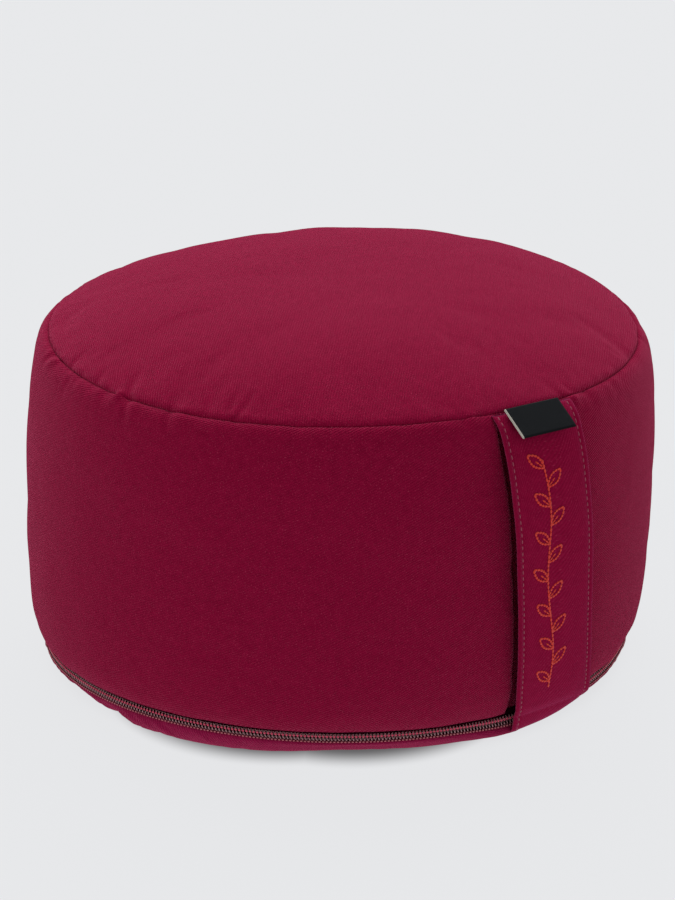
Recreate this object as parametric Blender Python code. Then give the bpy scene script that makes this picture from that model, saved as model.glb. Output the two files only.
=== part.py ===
"""Round meditation cushion (zafu): a firm, hull-filled drum of twill with a crowned top, a zip
round its foot, a carry handle down one side and a small folded tab in the top seam.

Metres, +Z up. The origin is on the floor under the middle of the flat base, and the handle
faces -Y. Sizes below are millimetres, and MM turns them into metres. An angle round the
cushion is counted from the handle, in degrees, and grows towards +X.

Every piece is first shaped on a perfectly round cushion and then passed through settled(),
which gives the whole cushion the uneven stand of a filled one: the seams rise and dip, the
foot pushes out in places and the body leans a little.
"""
import math

import bmesh
import bpy
from mathutils import Matrix, Vector

MM = 0.001

# ------------------------------------------------------------------ driving sizes, millimetres
WIDEST_RADIUS = 150.0       # the side band at its fullest
SEAM_HEIGHT = 161.5         # top seam over the floor
CROWN_RISE = 23.8           # middle of the top over its seam
CROWN_ROUNDNESS = 3.0       # 2 is a plain dome, more is flatter in the middle
ZIP_TOP = 15.5              # lower hem of the side band over the floor
ZIP_GAP = 5.6               # height between the band's hem and the base panel, filled by the zip
BASE_TUCK = 15.5            # how far the base panel draws in from the zip to where it lies flat

SEAM_DEPTH = 1.6            # how deep the sewn top seam pulls in
SEAM_HALF_WIDTH = 3.6       # how far from the seam the cloth starts to turn in
GROOVE_DEPTH = 4.3          # how far the zip's channel goes in from the band's hem
HEM_ROUND = 1.0             # the rounding of the hem over the zip

ZIP_SETBACK = 1.5           # zip's outer face behind the band's hem
ZIP_THICK = 2.4             # closed chain and tape
CLEAR = 0.35                # gap between pieces that touch

HANDLE_WIDTH = 44.0
HANDLE_THICK = 2.0
HANDLE_FLATNESS = 0.3       # 0 is curved across like the cushion, 1 is flat across

LABEL_WIDTH = 29.2
LABEL_THICK = 1.0
LABEL_ANGLE = -3.9          # where the middle of the tab is

LEAN = 3.3                  # how far the top seam stands sideways from the foot
LEAN_TOWARDS = 51.0         # and towards which angle

# How far the side band draws in from its widest radius, from its hem up to the top seam.
# share of the band's height, drawn in
SIDE_SHAPE = (
    (0.00, 6.3),
    (0.04, 3.7),
    (0.10, 1.8),
    (0.20, 0.5),
    (0.35, 0.0),
    (0.50, 0.2),
    (0.65, 0.5),
    (0.80, 1.8),
    (0.90, 3.7),
    (0.96, 5.6),
    (1.00, 9.9),
)

# The unevenness: what moves, how many waves go round, how far, and the angle of one crest.
# moves, waves, size, crest
WAVES = (
    ("seam height", 2, 1.0, -59.0),
    ("seam height", 3, 1.0, -14.0),
    ("zip height", 1, 1.7, 56.0),
    ("zip height", 2, 3.0, -73.0),
    ("zip radius", 2, 1.7, -82.0),
    ("zip radius", 3, 1.4, 29.0),
    ("base tuck", 1, 1.7, 117.0),
)

# The handle from the top seam, down over the zip, to the seam below it: how far its inner
# face stands off the cushion and how far its middle drifts round.
# height over the floor, stand-off, drift in degrees
HANDLE_ROUTE = (
    (160.4, -0.9, -3.1),
    (158.4, 0.4, -3.1),
    (152.0, 2.3, -3.05),
    (142.0, 4.2, -2.85),
    (128.0, 5.7, -2.5),
    (110.0, 6.4, -1.8),
    (90.0, 6.5, -1.2),
    (70.0, 6.3, -0.5),
    (50.0, 5.2, 0.35),
    (34.0, 3.9, 1.25),
    (24.0, 3.0, 2.1),
    (16.0, 2.0, 3.2),
    (8.6, 0.3, 4.0),
)

# The tab from its root in the seam, out over the handle: radius and height of its underside.
# share of its length, radius, height
LABEL_ROUTE = (
    (0.00, 141.7, 162.6),
    (0.50, 148.6, 158.3),
    (1.00, 155.5, 153.9),
)

# ------------------------------------------------------------------ how finely the pieces are cut
STEPS_ROUND = 96
CROWN_SHARES = (0.14, 0.28, 0.42, 0.55, 0.66, 0.76, 0.84, 0.91, 0.96)
SIDE_SHARES = (0.94, 0.89, 0.83, 0.75, 0.66, 0.56, 0.46, 0.36, 0.27, 0.19, 0.12, 0.07, 0.03)
TUCK_DEGREES = (6, 18, 33, 48, 63, 77, 90)
BASE_SHARES = (0.9, 0.6, 0.3)
HANDLE_STEPS = 28
HANDLE_END_STEPS = 0.7      # 0 is even steps, 1 the closest steps at the handle's two ends
HANDLE_ACROSS = 4
LABEL_STEPS = 6

ZIP_BOTTOM = ZIP_TOP - ZIP_GAP
HEM_RADIUS = WIDEST_RADIUS - SIDE_SHAPE[0][1]
SEAM_RADIUS = WIDEST_RADIUS - SIDE_SHAPE[-1][1]
TUCK_RADIUS = HEM_RADIUS - 1.2


# ------------------------------------------------------------------ the shape of the cushion
def read_table(rows, x, column=1):
    """A column of a table at x, as a smooth curve through its rows (rows may run up or down)."""
    rows = sorted(rows)
    if x <= rows[0][0]:
        return rows[0][column]
    if x >= rows[-1][0]:
        return rows[-1][column]

    def slope(i):
        low, high = rows[max(i - 1, 0)], rows[min(i + 1, len(rows) - 1)]
        return (high[column] - low[column]) / (high[0] - low[0])

    i = next(k for k in range(len(rows) - 1) if rows[k + 1][0] >= x)
    step = rows[i + 1][0] - rows[i][0]
    t = (x - rows[i][0]) / step
    start, end = rows[i][column], rows[i + 1][column]
    return (
        (2 * t**3 - 3 * t**2 + 1) * start
        + (t**3 - 2 * t**2 + t) * step * slope(i)
        + (3 * t**2 - 2 * t**3) * end
        + (t**3 - t**2) * step * slope(i + 1)
    )


def side_radius(height):
    """Radius of the round cushion's side band at a height between its hem and the top seam."""
    share = (height - ZIP_TOP) / (SEAM_HEIGHT - ZIP_TOP)
    return WIDEST_RADIUS - read_table(SIDE_SHAPE, share)


def crown_height(share):
    """Height of the round cushion's top at a share of the seam's radius."""
    return SEAM_HEIGHT + CROWN_RISE * (1 - share**CROWN_ROUNDNESS)


def tuck_point(degrees):
    """Radius and height of the base panel as it turns in from the zip to the flat of the base."""
    turn = math.radians(degrees)
    return TUCK_RADIUS - BASE_TUCK * (1 - math.cos(turn)), ZIP_BOTTOM * (1 - math.sin(turn))


def wave(moves, degrees):
    """The sum of the waves of one kind at an angle."""
    return sum(
        size * math.cos(math.radians(waves * (degrees - crest)))
        for kind, waves, size, crest in WAVES
        if kind == moves
    )


def settled(radius, degrees, height):
    """A point of the round cushion where it lies on the settled, uneven one, in metres."""
    share = min(max((height - ZIP_TOP) / (SEAM_HEIGHT - ZIP_TOP), 0.0), 1.0)
    foot = min(max(height / ZIP_BOTTOM, 0.0), 1.0)
    rim = min(radius / SEAM_RADIUS, 1.0)
    lift = wave("zip height", degrees) * foot * (1 - share) * rim**2
    lift += wave("seam height", degrees) * share * rim**2
    out = wave("zip radius", degrees) * (1 - share) ** 2 * rim**2
    out -= wave("base tuck", degrees) * (1 - foot) * rim**2
    around, leaning = math.radians(degrees), math.radians(LEAN_TOWARDS)
    return Vector(
        (
            (radius + out) * math.sin(around) + LEAN * share * math.sin(leaning),
            -(radius + out) * math.cos(around) - LEAN * share * math.cos(leaning),
            height + lift,
        )
    ) * MM


def settle(mesh):
    """Moves every vertex of a piece that was shaped on the round cushion, in millimetres."""
    for vert in mesh.verts:
        radius = math.hypot(vert.co.x, vert.co.y)
        degrees = math.degrees(math.atan2(vert.co.x, -vert.co.y))
        vert.co = settled(radius, degrees, vert.co.z)


# ------------------------------------------------------------------ making objects
def finish(colour, roughness, metallic=0.0):
    """A plain finish: its colour, roughness and metallic value."""

    def made(name):
        material = bpy.data.materials.new(name)
        material.use_nodes = True
        shader = material.node_tree.nodes["Principled BSDF"]
        shader.inputs["Base Color"].default_value = (*colour, 1)
        shader.inputs["Roughness"].default_value = roughness
        shader.inputs["Metallic"].default_value = metallic
        return material

    return made


BURGUNDY_TWILL = finish((0.16, 0.006, 0.03), 0.9)
ZIP_NYLON = finish((0.09, 0.02, 0.03), 0.5)
BLACK_RIBBON = finish((0.012, 0.012, 0.014), 0.7)
PAINTED_METAL = finish((0.03, 0.03, 0.03), 0.4, 0.6)


def keep(mesh, name, look):
    """Turns a bmesh into an object with its finish, shaded smooth but for its sharp edges."""
    bmesh.ops.recalc_face_normals(mesh, faces=mesh.faces)
    data = bpy.data.meshes.new(name)
    mesh.to_mesh(data)
    mesh.free()
    data.shade_smooth()
    data.set_sharp_from_angle(angle=math.radians(40))
    data.materials.append(look(name))
    piece = bpy.data.objects.new(name, data)
    bpy.context.collection.objects.link(piece)
    return piece


def turned(outline, closed):
    """A bmesh turned round the axis from an outline of (radius, height) in millimetres."""
    mesh = bmesh.new()
    points = [mesh.verts.new((0.0, -radius, height)) for radius, height in outline]
    for first, second in zip(points, points[1:] + points[:1] if closed else points[1:]):
        mesh.edges.new((first, second))
    bmesh.ops.spin(
        mesh, geom=mesh.verts[:] + mesh.edges[:], cent=(0, 0, 0), axis=(0, 0, 1),
        angle=math.tau, steps=STEPS_ROUND, use_merge=True,
    )
    bmesh.ops.remove_doubles(mesh, verts=mesh.verts, dist=0.01)
    return mesh


# ------------------------------------------------------------------ the filled cushion
def cushion_outline():
    """From the middle of the top, over the seam and the side, round the zip, under the base."""
    near_seam_down = (SEAM_HEIGHT - ZIP_TOP - SEAM_HALF_WIDTH) / (SEAM_HEIGHT - ZIP_TOP)
    near_seam_in = 1 - SEAM_HALF_WIDTH / SEAM_RADIUS
    outline = [(0.0, crown_height(0.0))]
    for share in CROWN_SHARES + (near_seam_in,):
        outline.append((SEAM_RADIUS * share, crown_height(share)))
    outline.append((SEAM_RADIUS - SEAM_DEPTH * 0.8, SEAM_HEIGHT - SEAM_DEPTH * 0.6))
    for share in (near_seam_down,) + SIDE_SHARES:
        height = ZIP_TOP + share * (SEAM_HEIGHT - ZIP_TOP)
        outline.append((side_radius(height), height))
    outline += [
        (HEM_RADIUS, ZIP_TOP + HEM_ROUND),
        (HEM_RADIUS - HEM_ROUND, ZIP_TOP),
        (HEM_RADIUS - GROOVE_DEPTH, ZIP_TOP),
        (HEM_RADIUS - GROOVE_DEPTH, ZIP_BOTTOM),
        (TUCK_RADIUS - HEM_ROUND, ZIP_BOTTOM),
    ]
    outline += [tuck_point(degrees) for degrees in TUCK_DEGREES]
    outline += [((TUCK_RADIUS - BASE_TUCK) * share, 0.0) for share in BASE_SHARES + (0.0,)]
    return outline


def make_cushion():
    mesh = turned(cushion_outline(), closed=False)
    settle(mesh)
    return keep(mesh, "cushion", BURGUNDY_TWILL)


# ------------------------------------------------------------------ the zip
def zip_outline():
    """The closed chain in section: two rounded rows of coil on a flat tape."""
    outer = HEM_RADIUS - ZIP_SETBACK
    inner = outer - ZIP_THICK
    top, bottom = ZIP_TOP - CLEAR, ZIP_BOTTOM + CLEAR
    middle = (top + bottom) / 2
    row = (top - bottom) / 4
    return [
        (inner, bottom),
        (outer - 1.4, bottom),
        (outer - 0.5, bottom + 0.3),
        (outer, middle - row),
        (outer - 0.5, middle - 0.3),
        (outer - 0.5, middle + 0.3),
        (outer, middle + row),
        (outer - 0.5, top - 0.3),
        (outer - 1.4, top),
        (inner, top),
    ]


def make_zip():
    mesh = turned(zip_outline(), closed=True)
    settle(mesh)
    return keep(mesh, "zip", ZIP_NYLON)


SLIDER_ANGLE = 180.0        # the zip's ends meet behind, where its slider is parked
SLIDER_LONG = 11.0
SLIDER_HIGH = 7.0
SLIDER_THICK = 1.8
SLIDER_OFF = 1.3            # its back face off the hem, to clear the fuller cloth above
PULL_LONG = 24.0
PULL_HIGH = 4.6
PULL_THICK = 1.4


def rounded_block(name, size, place, rounding, frame):
    """A block in millimetres with its edges rounded, set in a frame of (turn, seat)."""
    turn, seat = frame
    mesh = bmesh.new()
    bmesh.ops.create_cube(mesh, size=1.0)
    bmesh.ops.scale(mesh, verts=mesh.verts, vec=size)
    bmesh.ops.translate(mesh, verts=mesh.verts, vec=place)
    bmesh.ops.bevel(
        mesh, geom=mesh.edges[:], offset=rounding, offset_type="OFFSET", affect="EDGES",
        segments=2, profile=0.5, material=-1,
    )
    bmesh.ops.rotate(mesh, verts=mesh.verts, cent=(0, 0, 0), matrix=turn)
    bmesh.ops.translate(mesh, verts=mesh.verts, vec=seat)
    bmesh.ops.scale(mesh, verts=mesh.verts, vec=(MM, MM, MM))
    return keep(mesh, name, PAINTED_METAL)


def join(piece, helper):
    """Unites a helper with a piece; the helper itself isn't part of the cushion."""
    helper.hide_render = True
    helper.display_type = "WIRE"
    union = piece.modifiers.new(helper.name, "BOOLEAN")
    union.operation = "UNION"
    union.object = helper


def make_slider():
    """The slider over the hem of the zip's channel, its neck reaching in to the chain.

    Its blocks are sized as if they faced -Y at the origin, and their frame turns them to face
    out at the slider's angle. The neck ends short of the chain by the gap of touching pieces.
    """
    middle = (ZIP_TOP + ZIP_BOTTOM) / 2
    neck_long = ZIP_SETBACK + SLIDER_OFF - CLEAR
    neck_high = ZIP_GAP - 2 * CLEAR - 0.6
    seat = settled(HEM_RADIUS + SLIDER_OFF, SLIDER_ANGLE, middle) / MM
    outward = seat - settled(HEM_RADIUS, SLIDER_ANGLE, middle) / MM
    turn = Matrix.Rotation(math.atan2(outward.x, -outward.y), 3, "Z")
    frame = (turn, seat)
    bridge_out = SLIDER_THICK + PULL_THICK
    slider = rounded_block(
        "zip_slider", (SLIDER_LONG, SLIDER_THICK, SLIDER_HIGH),
        (0, -SLIDER_THICK / 2, 0), 0.6, frame,
    )
    neck = rounded_block(
        "slider_neck", (SLIDER_LONG * 0.7, neck_long + 0.6, neck_high),
        (0, neck_long / 2 - 0.3, 0), 0.3, frame,
    )
    bridge = rounded_block(
        "slider_bridge", (SLIDER_LONG * 0.7, bridge_out, 2.4), (0, -bridge_out / 2, 0), 0.5, frame
    )
    pull = rounded_block(
        "slider_pull", (PULL_LONG, PULL_THICK, PULL_HIGH),
        (PULL_LONG / 2 - 3.0, -SLIDER_THICK - PULL_THICK / 2 + 0.3, 0), 0.4, frame,
    )
    join(slider, neck)
    join(slider, bridge)
    join(slider, pull)
    return slider


# ------------------------------------------------------------------ the carry handle
def handle_point(across, height):
    """The handle's inner face: across runs from -1 to 1 over its width."""
    over_zip = height < ZIP_TOP + HEM_ROUND
    body = HEM_RADIUS if over_zip else side_radius(height)
    if height < ZIP_BOTTOM:
        body = TUCK_RADIUS
    radius = body + read_table(HANDLE_ROUTE, height, 1)
    turn = across * HANDLE_WIDTH / 2 / radius
    radius += HANDLE_FLATNESS * radius * (1 - math.cos(turn))
    return settled(radius, read_table(HANDLE_ROUTE, height, 2) + math.degrees(turn), height)


def strip(across_steps, along_steps, point):
    """A grid of points: point(across from -1 to 1, along from 0 to 1)."""
    mesh = bmesh.new()
    bmesh.ops.create_grid(mesh, x_segments=across_steps, y_segments=along_steps, size=1.0)
    for vert in mesh.verts:
        vert.co = point(vert.co.x, (1 - vert.co.y) / 2)
    return mesh


def thicken(piece, thickness, offset):
    """Gives a strip of cloth its thickness, outwards when offset is 1."""
    solidify = piece.modifiers.new("thickness", "SOLIDIFY")
    solidify.thickness = thickness * MM
    solidify.offset = offset
    solidify.use_even_offset = True


def make_handle():
    top, bottom = HANDLE_ROUTE[0][0], HANDLE_ROUTE[-1][0]

    def point(across, along):
        eased = (1 - math.cos(math.pi * along)) / 2
        share = along + HANDLE_END_STEPS * (eased - along)
        return handle_point(across, top + (bottom - top) * share)

    piece = keep(strip(HANDLE_ACROSS, HANDLE_STEPS, point), "handle", BURGUNDY_TWILL)
    thicken(piece, HANDLE_THICK, 1.0)
    return piece


# ------------------------------------------------------------------ the folded tab
def make_label():
    def point(across, along):
        out = read_table(LABEL_ROUTE, along, 1)
        aside = across * LABEL_WIDTH / 2
        turn = math.degrees(math.atan2(aside, out))
        return settled(math.hypot(out, aside), LABEL_ANGLE + turn, read_table(LABEL_ROUTE, along, 2))

    piece = keep(strip(2, LABEL_STEPS, point), "label", BLACK_RIBBON)
    thicken(piece, LABEL_THICK, 1.0)
    return piece


# ------------------------------------------------------------------ the whole cushion
for old in list(bpy.data.objects):
    bpy.data.objects.remove(old)

make_cushion()
make_zip()
make_slider()
make_handle()
make_label()
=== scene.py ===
# %% [markdown]
# # A round meditation cushion, finished
#
# The construction is already made: plain solids of the right size in the right place. This
# lesson dresses them. Each step first says what the piece is on a real cushion and why it is
# modelled the way it is, and then a short cell of code makes it and prints what it made.
#
# Sizes are written in millimetres, the unit a cushion maker uses, and become metres when a
# finished piece is put in its place. An angle round the cushion is counted in degrees from the
# middle of the carry handle, which faces -Y, and grows towards +X.

# %% Load the plain construction
import math

import bmesh
import bpy
import numpy as np
from mathutils import Matrix, Vector, noise
from mathutils.kdtree import KDTree


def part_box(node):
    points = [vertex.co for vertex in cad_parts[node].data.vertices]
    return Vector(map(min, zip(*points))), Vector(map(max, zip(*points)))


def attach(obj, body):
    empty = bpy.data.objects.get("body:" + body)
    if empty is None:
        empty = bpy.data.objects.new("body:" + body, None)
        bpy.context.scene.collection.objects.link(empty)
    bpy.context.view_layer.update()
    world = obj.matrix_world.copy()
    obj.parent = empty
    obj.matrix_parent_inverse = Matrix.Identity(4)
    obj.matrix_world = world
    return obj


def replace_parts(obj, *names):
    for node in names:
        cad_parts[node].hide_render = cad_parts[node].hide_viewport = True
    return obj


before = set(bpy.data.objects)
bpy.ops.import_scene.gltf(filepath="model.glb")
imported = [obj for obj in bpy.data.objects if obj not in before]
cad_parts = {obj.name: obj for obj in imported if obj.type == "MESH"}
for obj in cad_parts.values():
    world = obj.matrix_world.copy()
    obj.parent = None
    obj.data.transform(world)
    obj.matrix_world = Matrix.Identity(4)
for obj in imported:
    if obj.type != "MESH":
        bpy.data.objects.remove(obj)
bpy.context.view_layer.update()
MM = 0.001
print("plain construction:", ", ".join(sorted(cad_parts)))

# %% [markdown]
# ## The camera
#
# The picture was taken with a long lens from a little above, with the handle to the right of the
# middle. A long lens far away keeps the round seams flat and calm. The distance and the lens
# were found together, from how round the top seam and the zip look.

# %% Camera
SENSOR, LENS = 36.0, 116.34             # millimetres
DISTANCE = 1.400
AZIMUTH, ELEVATION = math.radians(-39.0), math.radians(21.51)
ROLL = 0.0022
AIM_ASIDE, AIM_HEIGHT = 0.69, 95.99     # how far right of the cushion's axis it aims, and how high
AIM = Vector((math.cos(AZIMUTH) * AIM_ASIDE, math.sin(AZIMUTH) * AIM_ASIDE, AIM_HEIGHT)) * MM

towards_camera = Vector((
    math.cos(ELEVATION) * math.sin(AZIMUTH),
    -math.cos(ELEVATION) * math.cos(AZIMUTH),
    math.sin(ELEVATION),
))
lens = bpy.data.cameras.new("camera")
lens.sensor_width = SENSOR
lens.lens = LENS
camera = bpy.data.objects.new("camera", lens)
bpy.context.collection.objects.link(camera)
camera.matrix_world = (
    Matrix.Translation(AIM + towards_camera * DISTANCE)
    @ (-towards_camera).to_track_quat("-Z", "Y").to_matrix().to_4x4()
    @ Matrix.Rotation(ROLL, 4, "Z")
)
bpy.context.scene.camera = camera
print(f"camera {DISTANCE:.2f} m away, {math.degrees(ELEVATION):.1f} degrees above the cushion")

# %% [markdown]
# ## Shader helpers
#
# Materials are node trees. A few helpers keep the cells short: `feed` fills a node's sockets,
# each with a value or with another node's output, and `add` makes a node and feeds it. The
# helpers after them make the nodes that come up again and again. `new_group` starts a node group
# with named inputs and outputs, so that an effect that several finishes share is built once.


# %% Helpers for nodes
def feed(tree, node, feeds):
    """Fills a node's sockets. feeds holds (socket, value or another node's output)."""
    for place, value in feeds:
        if isinstance(value, bpy.types.NodeSocket):
            tree.links.new(value, node.inputs[place])
        else:
            node.inputs[place].default_value = value


def add(tree, kind, feeds=(), **settings):
    """One shader node, with its settings made and its sockets fed."""
    made = tree.nodes.new(kind)
    for name, value in settings.items():
        setattr(made, name, value)
    feed(tree, made, feeds)
    return made


def maths(tree, operation, *values):
    """The result of one Math node."""
    return add(tree, "ShaderNodeMath", enumerate(values), operation=operation).outputs[0]


def blend_colours(tree, share, first, second):
    """A colour between two, by share: a Mix node takes its colours in sockets 6 and 7."""
    return add(tree, "ShaderNodeMix", [(0, share), (6, first), (7, second)], data_type="RGBA").outputs[2]


def clouds(tree, place, scale, detail):
    """The result of one Noise Texture node."""
    feeds = [("Vector", place), ("Scale", scale), ("Detail", detail)]
    return add(tree, "ShaderNodeTexNoise", feeds).outputs[0]


def ramp(tree, value, low, high, start, end, kind="LINEAR"):
    """The result of one Map Range node: start where value is low, end where it is high."""
    feeds = [("Value", value), ("From Min", low), ("From Max", high), ("To Min", start), ("To Max", end)]
    return add(tree, "ShaderNodeMapRange", feeds, interpolation_type=kind).outputs[0]


def bumped(tree, height, distance, strength=1.0):
    """A normal that leans as a height rises and falls."""
    feeds = [("Height", height), ("Distance", distance), ("Strength", strength)]
    return add(tree, "ShaderNodeBump", feeds).outputs[0]


def new_material(name):
    """A material, its node tree and its shader."""
    material = bpy.data.materials.new(name)
    material.use_nodes = True
    return material, material.node_tree, material.node_tree.nodes["Principled BSDF"]


def toned(colour, share, more=0.0):
    """A colour made darker or lighter."""
    return (*(min(1.0, part * share + more) for part in colour[:3]), 1)


def new_group(name, inputs, outputs):
    """An empty shader group: its tree, the sockets that come in and the node that takes the results."""
    tree = bpy.data.node_groups.new(name, "ShaderNodeTree")
    for label, kind, value in inputs:
        socket = tree.interface.new_socket(label, in_out="INPUT", socket_type=f"NodeSocket{kind}")
        if value is not None:
            socket.default_value = value
    for label in outputs:
        tree.interface.new_socket(label, in_out="OUTPUT", socket_type="NodeSocketFloat")
    return tree, tree.nodes.new("NodeGroupInput").outputs, tree.nodes.new("NodeGroupOutput")


# %% [markdown]
# ## The studio
#
# The cushion stands on a plain pale floor that runs past the edges of the picture, so the floor
# is also the backdrop. An even sky of light, one very wide, soft lamp high behind the cushion and
# a weak one at its left make the light of a tent of white cloth: the top is lighter than the side.
# A lit floor has almost no shadow, so nearly all of the floor's colour is its own glow. Close to
# the cushion's foot a painted shadow darkens that glow for the camera, most of all in front,
# where the lamp behind can't reach. The light that the floor sheds on the cushion has no
# painted shadow.


# %% Floor
def put(piece_name, mesh, material=None):
    """Turns a bmesh into a smooth-shaded object at the origin."""
    data = bpy.data.meshes.new(piece_name)
    mesh.to_mesh(data)
    mesh.free()
    data.shade_smooth()
    if material:
        data.materials.append(material)
    piece = bpy.data.objects.new(piece_name, data)
    bpy.context.collection.objects.link(piece)
    return piece


def dress(piece_name, mesh, material):
    """Puts a finished piece on the cushion under its own name, with its finish, and counts its faces."""
    piece = put(piece_name, mesh, material)
    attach(piece, "root")
    print(piece_name, len(piece.data.polygons), "faces")
    return piece


FLOOR_RADIUS = 9.0
FLOOR_COLOUR = (0.030, 0.030, 0.030, 1)
FLOOR_GLOW = (0.771, 0.779, 0.795, 1)
NO_GLOW = (0.0, 0.0, 0.0, 1)
# metres from the middle of each pool of painted shadow to where it starts to fade and to where it ends,
# how dark it is, how far its middle lies from the cushion's, and towards which angle
SHADE_POOLS = (
    (0.130, 0.146, 0.07, 0.000, 0.0), (0.0695, 0.0895, 0.84, 0.060, -63.0),
    (0.0670, 0.0870, 0.84, 0.060, -32.0),
)

floor_finish, tree, paper = new_material("floor_paper")
floor_place = add(tree, "ShaderNodeTexCoord").outputs["Object"]
shade = 0.0
for inner, outer, darkness, forward, angle in SHADE_POOLS:
    middle = (forward * math.sin(math.radians(angle)), -forward * math.cos(math.radians(angle)), 0.0)
    away = add(tree, "ShaderNodeVectorMath", [(0, floor_place), (1, middle)], operation="DISTANCE")
    pool = ramp(tree, away.outputs["Value"], inner, outer, darkness, 0.0, "SMOOTHSTEP")
    shade = maths(tree, "MAXIMUM", shade, pool)
# the painted shadow is seen only by the camera
shade = maths(tree, "MULTIPLY", shade, add(tree, "ShaderNodeLightPath").outputs["Is Camera Ray"])
feed(tree, paper, [
    ("Emission Color", blend_colours(tree, shade, FLOOR_GLOW, NO_GLOW)), ("Emission Strength", 1.0),
    ("Base Color", FLOOR_COLOUR), ("Roughness", 1.0), ("Specular IOR Level", 0.0),
])

disc = bmesh.new()
bmesh.ops.create_circle(disc, cap_ends=True, radius=FLOOR_RADIUS, segments=64)
floor = put("floor", disc, floor_finish)
print(f"floor {FLOOR_RADIUS * 2:.0f} m across")

# %% Light
BACKDROP = (0.791, 0.799, 0.815, 1)
SKY_COLOUR = (0.985, 0.99, 1.0, 1)
SKY_STRENGTH = 0.48
LAMP_WIDTH = math.radians(60)
# name, strength, turn from straight behind the cushion, height over the floor, in degrees
LAMPS = (("top_lamp", 2.7, 0, 47), ("side_lamp", 0.4, 105, 20))

sky = bpy.data.worlds.new("light_tent")
sky.use_nodes = True
tree = sky.node_tree
light = tree.nodes["Background"]
feed(tree, light, [("Color", SKY_COLOUR), ("Strength", SKY_STRENGTH)])
backdrop = add(tree, "ShaderNodeBackground", [("Color", BACKDROP)])
seen = add(tree, "ShaderNodeLightPath").outputs["Is Camera Ray"]
either = add(tree, "ShaderNodeMixShader", [(0, seen), (1, light.outputs[0]), (2, backdrop.outputs[0])])
feed(tree, tree.nodes["World Output"], [("Surface", either.outputs[0])])
bpy.context.scene.world = sky
for lamp_name, strength, turned, raised in LAMPS:
    lamp = bpy.data.lights.new(lamp_name, "SUN")
    lamp.energy = strength
    lamp.angle = LAMP_WIDTH
    lamp_place = bpy.data.objects.new(lamp_name, lamp)
    around = AZIMUTH + math.radians(turned)
    source = Vector((-math.sin(around), math.cos(around), math.tan(math.radians(raised))))
    lamp_place.rotation_euler = source.to_track_quat("Z", "Y").to_euler()
    bpy.context.collection.objects.link(lamp_place)
bpy.context.scene.view_settings.view_transform = "Standard"
print(f"{len(LAMPS)} lamps, {math.degrees(LAMP_WIDTH):.0f} degrees wide")

# %% [markdown]
# ## The shape everything follows
#
# A zafu is a drum: a crowned top panel, a tall side band and a flat base panel. Filled with
# hulls it is firm but never quite round. So every piece is first shaped on a perfectly round
# cushion and then passed through `settled`, which lets the seams rise and dip a little and the
# body lean. These are the construction's own sizes, so what is made here lies where it lies.

# %% Sizes of the round cushion
WIDEST_RADIUS = 150.0
SEAM_HEIGHT = 161.5
CROWN_RISE = 23.8
CROWN_ROUNDNESS = 3.0
ZIP_TOP = 15.5
ZIP_BOTTOM = 9.9
BASE_TUCK = 15.5
HEM_RADIUS = 143.7
SEAM_RADIUS = 140.1
TUCK_RADIUS = 142.5
LEAN = 3.3
LEAN_TOWARDS = 51.0

# share of the side band's height from its hem up, how far it draws in
SIDE_SHAPE = (
    (0.00, 6.3), (0.04, 3.7), (0.10, 1.8), (0.20, 0.5), (0.35, 0.0), (0.50, 0.2),
    (0.65, 0.5), (0.80, 1.8), (0.90, 3.7), (0.96, 5.6), (1.00, 9.9),
)
# what moves, how many waves go round, how far, the angle of one crest
WAVES = (
    ("seam height", 2, 1.0, -59.0),
    ("seam height", 3, 1.0, -14.0),
    ("zip height", 1, 1.7, 56.0),
    ("zip height", 2, 3.0, -73.0),
    ("zip radius", 2, 1.7, -82.0),
    ("zip radius", 3, 1.4, 29.0),
    ("base tuck", 1, 1.7, 117.0),
)
# beside the handle's foot the base panel hangs lower: the angle, half the width, how far
SAG_ANGLE, SAG_WIDTH, SAG_DEPTH = -4.0, 9.0, 1.6

# %% Reading a smooth curve from a table
def read_table(rows, x, column=1):
    """A column of a table at x, as a smooth curve through its rows."""
    rows = sorted(rows)
    if x <= rows[0][0]:
        return rows[0][column]
    if x >= rows[-1][0]:
        return rows[-1][column]

    def slope(i):
        low, high = rows[max(i - 1, 0)], rows[min(i + 1, len(rows) - 1)]
        return (high[column] - low[column]) / (high[0] - low[0])

    i = next(k for k in range(len(rows) - 1) if rows[k + 1][0] >= x)
    step = rows[i + 1][0] - rows[i][0]
    t = (x - rows[i][0]) / step
    start, end = rows[i][column], rows[i + 1][column]
    return (
        (2 * t**3 - 3 * t**2 + 1) * start
        + (t**3 - 2 * t**2 + t) * step * slope(i)
        + (3 * t**2 - 2 * t**3) * end
        + (t**3 - t**2) * step * slope(i + 1)
    )


# %% The round cushion, and where its points lie when it has settled
def side_radius(height):
    """Radius of the round cushion's side band at a height."""
    return WIDEST_RADIUS - read_table(SIDE_SHAPE, (height - ZIP_TOP) / (SEAM_HEIGHT - ZIP_TOP))


def crown_height(share):
    """Height of the round cushion's top at a share of the seam's radius."""
    return SEAM_HEIGHT + CROWN_RISE * (1 - share**CROWN_ROUNDNESS)


def wave(moves, degrees):
    """The sum of the waves of one kind at an angle."""
    return sum(
        size * math.cos(math.radians(waves * (degrees - crest)))
        for kind, waves, size, crest in WAVES
        if kind == moves
    )


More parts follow.
